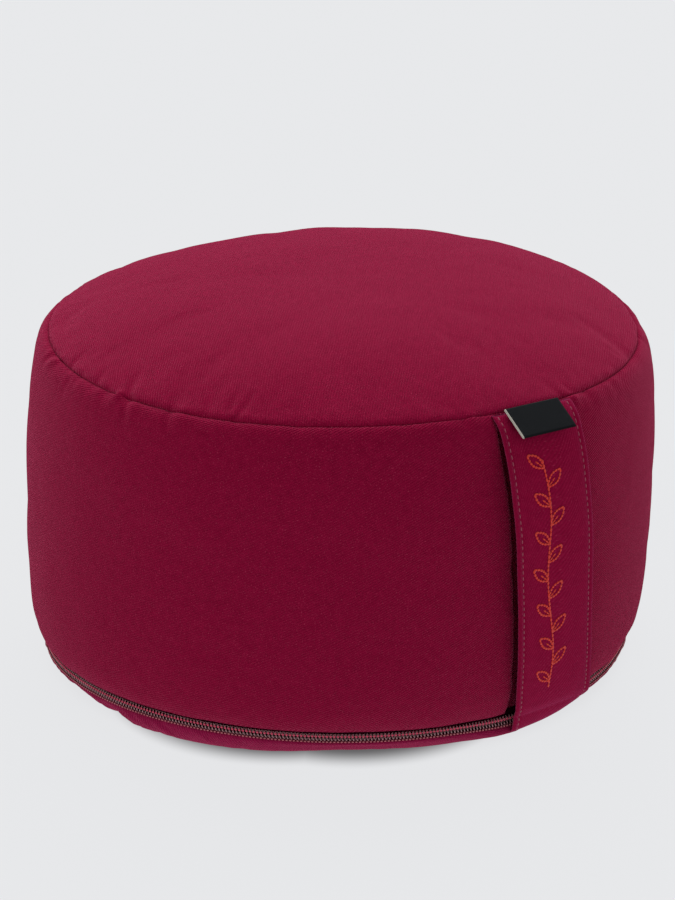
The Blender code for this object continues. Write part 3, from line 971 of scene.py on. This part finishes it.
def build_twist_group():
    """The slanting strands of a twisted thread, on a piece's own coordinates."""
    inputs = [("Position", "Vector", None), ("Strand Pitch", "Float", 0.0004)]
    tree, given, result = new_group("thread_twist", inputs, ["Height", "Shade"])
    x, y, z = add(tree, "ShaderNodeSeparateXYZ", [(0, given["Position"])]).outputs
    slant = maths(tree, "ADD", z, maths(tree, "ADD", x, y))
    turns = maths(tree, "MULTIPLY", maths(tree, "DIVIDE", slant, given["Strand Pitch"]), math.tau)
    strand = maths(tree, "MULTIPLY_ADD", maths(tree, "SINE", turns), 0.5, 0.5)
    fuzz = maths(tree, "MULTIPLY", clouds(tree, given["Position"], 1400.0, 2.0), 0.4)
    feed(tree, result, [("Height", strand), ("Shade", maths(tree, "MULTIPLY_ADD", strand, 0.6, fuzz))])
    return tree


thread_twist = build_twist_group()


def thread_finish(name, colour, roughness=0.6, pitch=0.0004):
    """Twisted thread: darker between its strands."""
    material, tree, shader = new_material(name)
    place = add(tree, "ShaderNodeTexCoord").outputs["Object"]
    feeds = [("Position", place), ("Strand Pitch", pitch)]
    twist = add(tree, "ShaderNodeGroup", feeds, node_tree=thread_twist).outputs
    feed(tree, shader, [
        ("Base Color", blend_colours(tree, twist["Shade"], toned(colour, 0.45), colour)),
        ("Normal", bumped(tree, twist["Height"], 0.00008, 0.7)),
        ("Roughness", roughness), ("Specular IOR Level", 0.3),
    ])
    return material


# the coil's nylon, its colour partly a painted highlight
coil_nylon_painted_highlight, tree, shader = new_material("coil_nylon_painted_highlight")
cloudy = clouds(tree, add(tree, "ShaderNodeTexCoord").outputs["Object"], 260.0, 3.0)
feed(tree, shader, [
    ("Base Color", blend_colours(tree, cloudy, toned(NYLON_AND_PAINTED_HIGHLIGHT_COLOUR, 0.55), NYLON_AND_PAINTED_HIGHLIGHT_COLOUR)),
    ("Roughness", maths(tree, "MULTIPLY_ADD", cloudy, 0.2, 0.2)), ("Coat Weight", 0.25),
])
zip_tape = cloth_finish("zip_tape", TAPE_DEEP, TAPE_TOP, 80, sheen=0.05, flecks=0.0)
rose_thread = thread_finish("rose_thread", ROSE)
crimson_thread = thread_finish("crimson_thread", CRIMSON)
salmon_thread = thread_finish("salmon_thread", SALMON)
print("zip finishes:", coil_nylon_painted_highlight.name, zip_tape.name, crimson_thread.name, salmon_thread.name)

# %% Two rows of coil
COIL_TURNS = 540
COIL_RADIUS = 141.3         # middle of the coil from the cushion's axis
COIL_PITCH = math.tau * COIL_RADIUS / COIL_TURNS
COIL_HALF_HIGH = 0.76
COIL_HALF_DEEP = 0.70
COIL_WIRE = 0.28
CHAIN_MIDDLE = 12.10        # height of the chain's middle, a little low in its channel
ROW_OFFSET = 0.95           # middle of a row over or under the chain's middle
TURN_STEPS = 10


def shift(mesh, *by):
    bmesh.ops.translate(mesh, verts=mesh.verts, vec=by)


def rotate(mesh, degrees, axis, middle=(0, 0, 0)):
    turn = Matrix.Rotation(math.radians(degrees), 3, axis)
    bmesh.ops.rotate(mesh, verts=mesh.verts, cent=middle, matrix=turn)


def coil_turn(lean, height, phase):
    """One turn of wire at the front of the cushion, slanting with lean 1 or -1."""
    mesh = bmesh.new()
    bmesh.ops.create_circle(mesh, radius=COIL_WIRE, segments=6)
    rotate(mesh, 90, "Y")
    shift(mesh, 0, COIL_HALF_DEEP, 0)
    rotate(mesh, 90, "Z", (0, COIL_HALF_DEEP, 0))
    bmesh.ops.spin(
        mesh, geom=mesh.edges[:], cent=(0, 0, 0), axis=(lean, 0, 0), angle=math.tau,
        steps=TURN_STEPS, dvec=(COIL_PITCH / TURN_STEPS, 0, 0),
    )
    bmesh.ops.scale(mesh, verts=mesh.verts, vec=(1, 1, COIL_HALF_HIGH / COIL_HALF_DEEP))
    shift(mesh, phase * COIL_PITCH - COIL_PITCH / 2, -COIL_RADIUS, height)
    return mesh


def round_the_foot(name, mesh, material):
    """Repeats one turn or stitch round the whole zip and makes it a settled piece."""
    copy_round(mesh, COIL_TURNS, 0.04)
    settle(mesh)
    return dress(name, mesh, material)


upper_coil = coil_turn(-1, CHAIN_MIDDLE + ROW_OFFSET, 0.0)
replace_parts(round_the_foot("zip_coil_upper", upper_coil, coil_nylon_painted_highlight), "zip")
round_the_foot("zip_coil_lower", coil_turn(1, CHAIN_MIDDLE - ROW_OFFSET, 0.5), coil_nylon_painted_highlight)

# %% [markdown]
# Each row is held to its tape by a line of chain stitches over the legs of the coil. The two tapes
# are coloured near black: their own dark colour, deepened as painted shade between the turns.

# %% The tapes
TAPE_RADIUS = 139.75
TAPE_THICK = 0.5
TAPES = (("zip_tape_upper", 12.9, 15.7), ("zip_tape_lower", 9.7, 12.5))     # name, lower and upper edge


def map_round(mesh):
    """A cloth map round the foot: metres along the tape and across it."""
    cloth = mesh.loops.layers.uv.new("cloth")
    for face in mesh.faces:
        middle = turn_of(face.calc_center_median())
        for loop in face.loops:
            along = math.radians(turn_near(loop.vert.co, middle)) * COIL_RADIUS
            loop[cloth].uv = (along * MM, loop.vert.co.z * MM)


for tape_name, low, high in TAPES:
    inner = TAPE_RADIUS - TAPE_THICK
    tape = spin_rows([(TAPE_RADIUS, low), (TAPE_RADIUS, high), (inner, high), (inner, low)], True, 360)
    map_round(tape)
    settle(tape)
    dress(tape_name, tape, zip_tape)


# %% A stitch, and the two lines of them over the coil
def make_grain():
    """A ball of radius 1 with its poles along X, which every stitch is stretched from."""
    ball = bmesh.new()
    lay = Matrix.Rotation(math.pi / 2, 4, "Y")
    bmesh.ops.create_uvsphere(ball, u_segments=8, v_segments=6, radius=1.0, matrix=lay)
    data = bpy.data.meshes.new("grain")
    ball.to_mesh(data)
    ball.free()
    return data


GRAIN = make_grain()
STITCH_FRONT = -(COIL_RADIUS + COIL_HALF_DEEP + 0.25)
STITCH_HALF = 0.56          # half the length of a stitch over the coil
# name, how far over or under the chain's middle it runs, how wide its stitches are, its thread
STITCH_LINES = (
    ("zip_stitches_upper", 0.85, 1.2, crimson_thread),
    ("zip_stitches_lower", -1.85, 0.8, salmon_thread),
)


def stitch(mesh, start, end, out, width, thick):
    """One stitch of thread: a grain from start to end that stands towards out."""
    along = end - start
    side = along.cross(out).normalized()
    up = side.cross(along).normalized()
    place = Matrix.Identity(4)
    for column, axis in enumerate((along / 2, side * width / 2, up * thick / 2)):
        for k in range(3):
            place[k][column] = axis[k]
    place.translation = (start + end) / 2
    known = len(mesh.verts)
    mesh.from_mesh(GRAIN)
    for vert in mesh.verts[known:]:
        vert.co = place @ vert.co

for line_name, over, wide, thread in STITCH_LINES:
    line = bmesh.new()
    middle, half = Vector((0, STITCH_FRONT, CHAIN_MIDDLE + over)), Vector((STITCH_HALF, 0, 0))
    stitch(line, middle - half, middle + half, Vector((0, -1, 0)), wide, 0.6)
    shift(line, COIL_PITCH / 4, 0, 0)
    round_the_foot(line_name, line, thread)

# %% [markdown]
# ## The carry handle
#
# The handle is a strip of the cover's twill folded to a flat tube and topstitched along both
# edges. It comes out of the top seam, stands a few millimetres off the side and is sewn into the
# seam below the zip. The stitching pulls a shallow groove along each edge, which leaves a soft
# roll outside it. A grid is wrapped round the strap's section, so front, back and both rolled
# edges are one closed skin.

# %% How long the handle is
heights = np.linspace(HANDLE_ROUTE[0][0], HANDLE_ROUTE[-1][0], 200)
middle_line = [handle_point(0, height, 0) / MM for height in heights]
run = np.concatenate([[0], np.cumsum([(b - a).length for a, b in zip(middle_line, middle_line[1:])])])
HANDLE_LONG = float(run[-1])


def height_at(length):
    """The handle's height at a length along it from the top seam."""
    return float(np.interp(length, run, heights))


print(f"handle {HANDLE_LONG:.1f} mm long")


# %% How the strap lies
STRAP_ALONG = 150
STRAP_AROUND = 88
LEFT_INSET = 2.4            # how far the topstitching runs inside each edge of the handle
RIGHT_INSET = 3.1
STITCH_GROOVE = 0.38
STITCH_PITCH = 3.0
EDGE_ROUND = 0.75           # how full the strap's rolled edges are
SOFT_SWELL = 0.55           # how far the strap is uneven
RIPPLE, RIPPLE_AT = 0.10, 21.0      # each stitch dents the strap this much, most of all beside its edges
GRIP = 2.0                  # the seam at the foot grips the strap over this length
FOOT_PINCH = 1.6            # how far it draws the foot in
FOOT_TWIST = 2.6            # how far the right edge of the foot stands away from the side
FOOT_SLANT = 10.5           # and how much higher than the left it is sewn in
TWIST_REACH, SLANT_REACH = 28.0, 45.0
TURNED_FROM = -6.0          # across the strap, where twist and slant start


def strap_place(across, length, lift):
    """A place on the handle as it hangs: softly uneven, its foot drawn into the seam."""
    soft = noise.noise(Vector((across * 0.05, length * 0.035, 3.0))) * SOFT_SWELL
    from_foot = HANDLE_LONG - length
    at_foot = math.exp(-from_foot / GRIP)
    lift = (lift + soft) * (1 - 0.45 * at_foot) - FOOT_PINCH * at_foot
    right = max((across - TURNED_FROM) / (HANDLE_WIDTH / 2 - TURNED_FROM), 0.0) ** 2
    lift += FOOT_TWIST * right * math.exp(-((from_foot / TWIST_REACH) ** 2))
    length -= FOOT_SLANT * right * math.exp(-((from_foot / SLANT_REACH) ** 2))
    return handle_point(across, height_at(length), lift)


def strap_section(share):
    """Across and lift at a share of the way round the strap's section."""
    turn = math.tau * share
    across = HANDLE_WIDTH / 2 * math.copysign(abs(math.sin(turn)) ** EDGE_ROUND, math.sin(turn))
    edge = HANDLE_WIDTH / 2 - abs(across)
    inset = LEFT_INSET if across < 0 else RIGHT_INSET
    half = HANDLE_THICK / 2
    lift = half if edge > half else math.sqrt(max(half**2 - (half - edge) ** 2, 0.0))
    groove = STITCH_GROOVE * math.exp(-(((edge - inset) / 0.7) ** 2))
    roll = 0.12 * math.exp(-(((edge - inset / 2) / 0.8) ** 2))
    return across, math.copysign(lift - groove + roll, math.cos(turn))


# %% The strap as one closed skin
def mapped_grid(across, along, wide, long):
    """A grid of size 1 with a cloth map for a strip of so many millimetres."""
    mesh = bmesh.new()
    bmesh.ops.create_grid(mesh, x_segments=across, y_segments=along, size=0.5)
    cloth = mesh.loops.layers.uv.new("cloth")
    for face in mesh.faces:
        for loop in face.loops:
            x, y, _ = loop.vert.co
            loop[cloth].uv = ((x + 0.5) * wide * MM, (y + 0.5) * long * MM)
    return mesh


def make_strap():
    mesh = mapped_grid(STRAP_AROUND, STRAP_ALONG, HANDLE_WIDTH * 2, HANDLE_LONG)
    for vert in mesh.verts:
        length = (0.5 - vert.co.y) * HANDLE_LONG
        across, lift = strap_section(vert.co.x + 0.5)
        near_edge = math.exp(-((abs(across) - RIPPLE_AT) / 2.0) ** 2)
        ripple = RIPPLE * math.sin(length / STITCH_PITCH * math.tau) * near_edge
        vert.co = strap_place(across, length, lift + ripple)
    bmesh.ops.remove_doubles(mesh, verts=mesh.verts, dist=0.001 * MM)
    bmesh.ops.holes_fill(mesh, edges=[edge for edge in mesh.edges if edge.is_boundary], sides=0)
    bmesh.ops.recalc_face_normals(mesh, faces=mesh.faces)
    return mesh


strap = dress("handle_strap", make_strap(), strap_twill)
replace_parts(strap, "handle")

# %% [markdown]
# ## Topstitching
#
# Each stitch is a short grain of twisted thread that lies in the groove. It is modelled and not
# painted, because it stands up and throws a little shadow. The stitches run down both edges and
# turn the corner at the foot of the handle.

# %% Topstitches
STITCH_LONG = 2.0
STITCH_WIDE = 0.6
STITCH_HIGH_OFF = 0.80      # how far a stitch's middle stands off the strap's middle layer
FOOT_STITCHES = 4           # the line turns the corner at the foot and then dips into the seam


def lay_stitch(mesh, start, end, width=STITCH_WIDE, thick=0.5, lift=STITCH_HIGH_OFF):
    """A stitch between two places (across, length) on the front of the handle."""
    a, b = strap_place(*start, lift), strap_place(*end, lift)
    stitch(mesh, a, b, strap_place(*start, lift + 1) - a, width * MM, thick * MM)


def make_topstitches():
    mesh = bmesh.new()
    left, right = LEFT_INSET - HANDLE_WIDTH / 2, HANDLE_WIDTH / 2 - RIGHT_INSET
    foot = HANDLE_LONG - LEFT_INSET
    for across in (left, right):
        for k in range(int((foot - 2.0) / STITCH_PITCH) + 1):
            length = foot - k * STITCH_PITCH
            lay_stitch(mesh, (across, length), (across, length - STITCH_LONG))
    for k in range(FOOT_STITCHES):
        start = left + 0.5 + k * STITCH_PITCH
        lay_stitch(mesh, (start, foot), (start + STITCH_LONG, foot))
    return mesh


topstitches = dress("handle_topstitch", make_topstitches(), rose_thread)

# %% [markdown]
# ## Embroidery
#
# A narrow column of orange machine embroidery runs down the handle. It is a plain leafy sprig: a
# gently swinging stem with leaves in turn to the left and right, each outlined in back stitch
# and given a vein. Every stitch is again a grain of thread, shinier than the topstitching
# because embroidery thread is.

# %% Where the sprig's stem and leaves run
SPRIG_COLOUR = (0.97, 0.052, 0.03, 1)
SPRIG_ASIDE = -4.5          # the sprig stands a little left of the handle's middle
SPRIG_FROM = 23.0
SPRIG_TO = 138.0
SPRIG_SWING = 1.6
SPRIG_LEAVES = 13
LEAF_LONG = 10.5
LEAF_WIDE = 4.6
LEAF_STITCHES = 7
BACK_STITCH = 2.1

LEAF_LEAN = math.radians(48)
STEM_WIDE, EDGE_WIDE, VEIN_WIDE = 1.1, 1.2, 0.8
VEIN = (0.12, 0.32, 0.52)   # shares of the leaf's length at the ends of a vein's two stitches


def stem_across(length):
    """How far the stem swings from the handle's middle."""
    turns = (length - SPRIG_FROM) / (SPRIG_TO - SPRIG_FROM) * 1.5
    return SPRIG_ASIDE + SPRIG_SWING * math.sin(turns * math.tau)


def leaf_place(root, side, share, edge):
    """A place on a leaf: at a share of its length, on its left edge (-1), middle or right edge (1)."""
    along, off = share * LEAF_LONG, edge * LEAF_WIDE / 2 * math.sin(math.pi * share) ** 0.9
    dx = side * (along * math.sin(LEAF_LEAN) + off * math.cos(LEAF_LEAN))
    dy = -(along * math.cos(LEAF_LEAN) - off * math.sin(LEAF_LEAN))
    return root[0] + dx, root[1] + dy


print(f"a sprig of {SPRIG_LEAVES} leaves, {SPRIG_TO - SPRIG_FROM:.0f} mm long")


# %% The sprig in back stitch
def make_sprig():
    mesh = bmesh.new()

    def sew(places, width):
        for start, end in zip(places, places[1:]):
            lay_stitch(mesh, start, end, width=width, thick=0.55, lift=HANDLE_THICK / 2 + 0.12)

    count = int((SPRIG_TO - SPRIG_FROM) / BACK_STITCH)
    stem = [SPRIG_FROM + k * (SPRIG_TO - SPRIG_FROM) / count for k in range(count + 1)]
    sew([(stem_across(length), length) for length in stem], STEM_WIDE)
    shares = [i / LEAF_STITCHES for i in range(LEAF_STITCHES + 1)]
    for k in range(SPRIG_LEAVES):
        length = SPRIG_TO - 4.0 - k * (SPRIG_TO - SPRIG_FROM - 8.0) / (SPRIG_LEAVES - 1)
        root, side = (stem_across(length), length), 1 if k % 2 else -1
        for edge in (-1, 1):
            sew([leaf_place(root, side, share, edge) for share in shares], EDGE_WIDE)
        sew([leaf_place(root, side, share, 0) for share in VEIN], VEIN_WIDE)
    return mesh


sprig_thread = thread_finish("sprig_thread", SPRIG_COLOUR, roughness=0.38, pitch=0.0003)
sprig = put("handle_sprig", make_sprig(), sprig_thread)
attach(sprig, "root")
print("sprig:", len(sprig.data.polygons), "faces")

# %% [markdown]
# ## The folded tab
#
# A piece of black woven ribbon is folded over and caught in the top seam above the handle, where
# it sticks out like a small shelf. One selvedge is pale. It is one strip that runs out along the
# underside, round the fold and back on top, given the thickness of ribbon.

# %% Ribbon finish
RIBBON_COLOUR = (0.0028, 0.0036, 0.0046, 1)
SELVEDGE_COLOUR = (0.56, 0.54, 0.47, 1)
SELVEDGE_WIDTH = 0.0004     # in metres, as the cloth map is
RIB_PITCH, YARN_PITCH = 0.0005, 0.0004

# fine crosswise ribs, black but for one pale selvedge
tab_ribbon, tree, shader = new_material("tab_ribbon")
cloth_map = add(tree, "ShaderNodeUVMap", uv_map="cloth").outputs[0]
u, v = add(tree, "ShaderNodeSeparateXYZ", [(0, cloth_map)]).outputs[:2]
ribs = maths(tree, "SINE", maths(tree, "MULTIPLY", v, math.tau / RIB_PITCH))
yarns = maths(tree, "SINE", maths(tree, "MULTIPLY", u, math.tau / YARN_PITCH))
weave = maths(tree, "MULTIPLY_ADD", maths(tree, "MULTIPLY", ribs, yarns), 0.5, 0.5)
black = blend_colours(tree, weave, RIBBON_COLOUR, toned(RIBBON_COLOUR, 2.2))
edge = maths(tree, "LESS_THAN", u, SELVEDGE_WIDTH)
feed(tree, shader, [
    ("Base Color", blend_colours(tree, edge, black, SELVEDGE_COLOUR)), ("Roughness", 0.75),
    ("Specular IOR Level", 0.08), ("Normal", bumped(tree, weave, 0.00006, 0.8)),
])
print("made", tab_ribbon.name)

# %% The tab
LABEL_WIDTH = 29.2
LABEL_ANGLE = -3.9
RIBBON_THICK = 0.42
LAYER_GAP = 0.56            # from the middle of one layer to the middle of the other
FOLD_FROM, FOLD_TO = 0.97, 1.03     # where the ribbon turns over, as shares of the tab's length
FOLD_BULGE = 0.016
SOFTNESS = 0.25
# share of the tab's length, radius, height of its underside
LABEL_ROUTE = ((0.0, 141.7, 162.6), (0.5, 148.6, 158.3), (1.0, 155.5, 153.9))

def tab_point(across, along, layer):
    """A place on the tab; layer runs from the lower ribbon (0) to the upper one (1)."""
    step = 0.01
    ahead = min(along, 1 - step) + step
    (radius, height), near, far = (
        Vector((read_table(LABEL_ROUTE, share, 1), read_table(LABEL_ROUTE, share, 2)))
        for share in (along, ahead - step, ahead)
    )
    out, rise = (far - near).normalized()
    lift = RIBBON_THICK / 2 + layer * LAYER_GAP
    radius, height = radius - rise * lift, height + out * lift
    turn = math.degrees(math.atan2(across, radius))
    return settled(math.hypot(radius, across), LABEL_ANGLE + turn, height)


TAB_LONG = sum(math.dist(a[1:], b[1:]) for a, b in zip(LABEL_ROUTE, LABEL_ROUTE[1:]))


def make_tab():
    mesh = mapped_grid(30, 64, LABEL_WIDTH, TAB_LONG * 2)
    for vert in mesh.verts:
        across, share = vert.co.x * LABEL_WIDTH, (vert.co.y + 0.5) * 2
        fold = math.pi * min(max((share - FOLD_FROM) / (FOLD_TO - FOLD_FROM), 0.0), 1.0)
        along = min(share, 2 - share) + FOLD_BULGE * math.sin(fold)
        layer = (1 - math.cos(fold)) / 2
        layer += SOFTNESS * noise.noise(Vector((across * 0.09, along * 1.4, 5.0)))
        vert.co = tab_point(across, min(along, 1.0), layer)
    bmesh.ops.recalc_face_normals(mesh, faces=mesh.faces)
    return mesh


tab = dress("folded_tab", make_tab(), tab_ribbon)
thickness = tab.modifiers.new("thickness", "SOLIDIFY")
thickness.thickness = RIBBON_THICK * MM
thickness.offset = 0.0
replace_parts(tab, "label")
print(f"tab {LABEL_WIDTH:.0f} by {TAB_LONG:.1f} mm")

# %% [markdown]
# ## The slider
#
# The zip's two ends meet behind, where its slider is parked. It is cast and painted: a plate that
# tapers to its rear, a neck behind it that reaches into the zip's channel, a bridge over it, and a
# pull that hangs in the bridge by a slot and lies along the zip. Plate, neck and pull are flat
# outlines given a thickness and a bevel, and the bridge is a small circle spun half way round.

# %% Painted metal
PAINT_DEEP, PAINT_PALE = (0.035, 0.008, 0.014, 1), (0.075, 0.02, 0.03, 1)

metal, tree, shader = new_material("zip_metal")
specks = clouds(tree, add(tree, "ShaderNodeTexCoord").outputs["Object"], 900.0, 4.0)
feed(tree, shader, [
    ("Base Color", blend_colours(tree, specks, PAINT_DEEP, PAINT_PALE)), ("Metallic", 0.6),
    ("Roughness", maths(tree, "MULTIPLY_ADD", specks, 0.25, 0.28)),
])
print("made", metal.name)

# %% The slider's sizes
SLIDER_ANGLE = 180.0
SLIDER_OFF = 1.3            # from the hem to the back of the plate
PLATE_THICK = 1.6
PLATE_EDGE = ((-5.5, 2.1), (-3.0, 3.5), (3.4, 3.5), (5.5, 2.6))     # its upper half
PLATE_OUTLINE = PLATE_EDGE + tuple((x, -z) for x, z in PLATE_EDGE[::-1])
NECK_LONG = 3.4
BRIDGE_REACH = 2.9
BRIDGE_WIRE = 0.75
BRIDGE_HIGH = 2.2
PULL_FROM, PULL_TO = -2.6, 21.0
PULL_HALF_WIDE = 2.3
PULL_THICK = 1.1
SLOT_LONG, SLOT_HALF_WIDE = 3.4, 1.2
ROUND_STEPS = 10


def stadium(start, end, half_wide, narrower=1.0):
    """Points round a bar with round ends, seen from outside; its far end may be narrower."""
    points = []
    for centre, half, first in ((end, half_wide * narrower, -90), (start, half_wide, 90)):
        middle = centre - half if first < 0 else centre + half
        for k in range(ROUND_STEPS + 1):
            turn = math.radians(first + 180 * k / ROUND_STEPS)
            points.append((middle + half * math.cos(turn), half * math.sin(turn)))
    return points

# %% Flat outlines given a thickness
def plate(mesh, outline_points, hole=None):
    """Adds a flat outline, with a hole if one is given, as edges bridged or filled to faces."""
    loops = []
    for points in (outline_points, hole or ()):
        verts = [mesh.verts.new((x, 0, z)) for x, z in points]
        loops += [mesh.edges.new((a, b)) for a, b in zip(verts, verts[1:] + verts[:1])]
    if hole:
        return bmesh.ops.bridge_loops(mesh, edges=loops)["faces"]
    return bmesh.ops.contextual_create(mesh, geom=loops)["faces"]


def thicken(mesh, faces, front, thick, rounding):
    """Gives flat faces a thickness towards -Y, from front, and softens their edges."""
    flat = list({vert for face in faces for vert in face.verts})
    bmesh.ops.translate(mesh, verts=flat, vec=(0, -front, 0))
    made = bmesh.ops.extrude_face_region(mesh, geom=faces)["geom"]
    moved = [part for part in made if isinstance(part, bmesh.types.BMVert)]
    bmesh.ops.translate(mesh, verts=moved, vec=(0, -thick, 0))
    bmesh.ops.recalc_face_normals(mesh, faces=mesh.faces)
    sharp = [edge for edge in mesh.edges if len(edge.link_faces) == 2 and edge.calc_face_angle() > 1.0]
    bmesh.ops.bevel(
        mesh, geom=sharp, offset=rounding, offset_type="OFFSET", affect="EDGES",
        segments=3, profile=0.5, material=-1,
    )

# %% The slider's parts
def slider_parts():
    """Plate, neck, pull and bridge, made as if they faced -Y at the origin."""
    parts = []
    neck = stadium(-3.6, 3.6, 1.5)
    pull = stadium(PULL_FROM, PULL_TO, PULL_HALF_WIDE, 0.75)
    slot = stadium(PULL_FROM + 1.1, PULL_FROM + 1.1 + SLOT_LONG, SLOT_HALF_WIDE)
    for points, hole, front, thick, rounding in (
        (PLATE_OUTLINE, None, 0.0, PLATE_THICK, 0.45),
        (neck, None, -NECK_LONG, NECK_LONG + 0.4, 0.2),
        (pull, slot, PLATE_THICK + 0.1, PULL_THICK, 0.3),
    ):
        part = bmesh.new()
        thicken(part, plate(part, points, hole), front, thick, rounding)
        parts.append(part)
    bridge = bmesh.new()
    bmesh.ops.create_circle(bridge, radius=BRIDGE_WIRE, segments=10)
    rotate(bridge, 90, "X")
    shift(bridge, BRIDGE_REACH, 0, 0)
    bmesh.ops.spin(
        bridge, geom=bridge.edges[:], cent=(0, 0, 0), axis=(0, 0, -1), angle=math.pi, steps=14,
    )
    bmesh.ops.holes_fill(bridge, edges=[edge for edge in bridge.edges if edge.is_boundary], sides=0)
    bmesh.ops.scale(bridge, verts=bridge.verts, vec=(1, BRIDGE_HIGH / BRIDGE_REACH, 1.3))
    shift(bridge, 0, -PLATE_THICK + 0.2, 0)
    bmesh.ops.recalc_face_normals(bridge, faces=bridge.faces)
    return parts + [bridge]


# %% Put the slider in its place
slider = bmesh.new()
for part in slider_parts():
    data = bpy.data.meshes.new("part")
    part.to_mesh(data)
    part.free()
    slider.from_mesh(data)
    bpy.data.meshes.remove(data)
zip_middle = (ZIP_TOP + ZIP_BOTTOM) / 2
seat = settled(HEM_RADIUS + SLIDER_OFF, SLIDER_ANGLE, zip_middle)
outward = seat - settled(HEM_RADIUS, SLIDER_ANGLE, zip_middle)
bmesh.ops.scale(slider, verts=slider.verts, vec=(MM, MM, MM))
rotate(slider, math.degrees(math.atan2(outward.x, -outward.y)), "Z")
shift(slider, *seat)
cast_slider = dress("cast_slider", slider, metal)
cast_slider.data.shade_flat()
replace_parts(cast_slider, "zip_slider")
low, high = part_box("zip_slider")
print("the plain slider's size in metres:", [round(h - l, 4) for l, h in zip(low, high)])
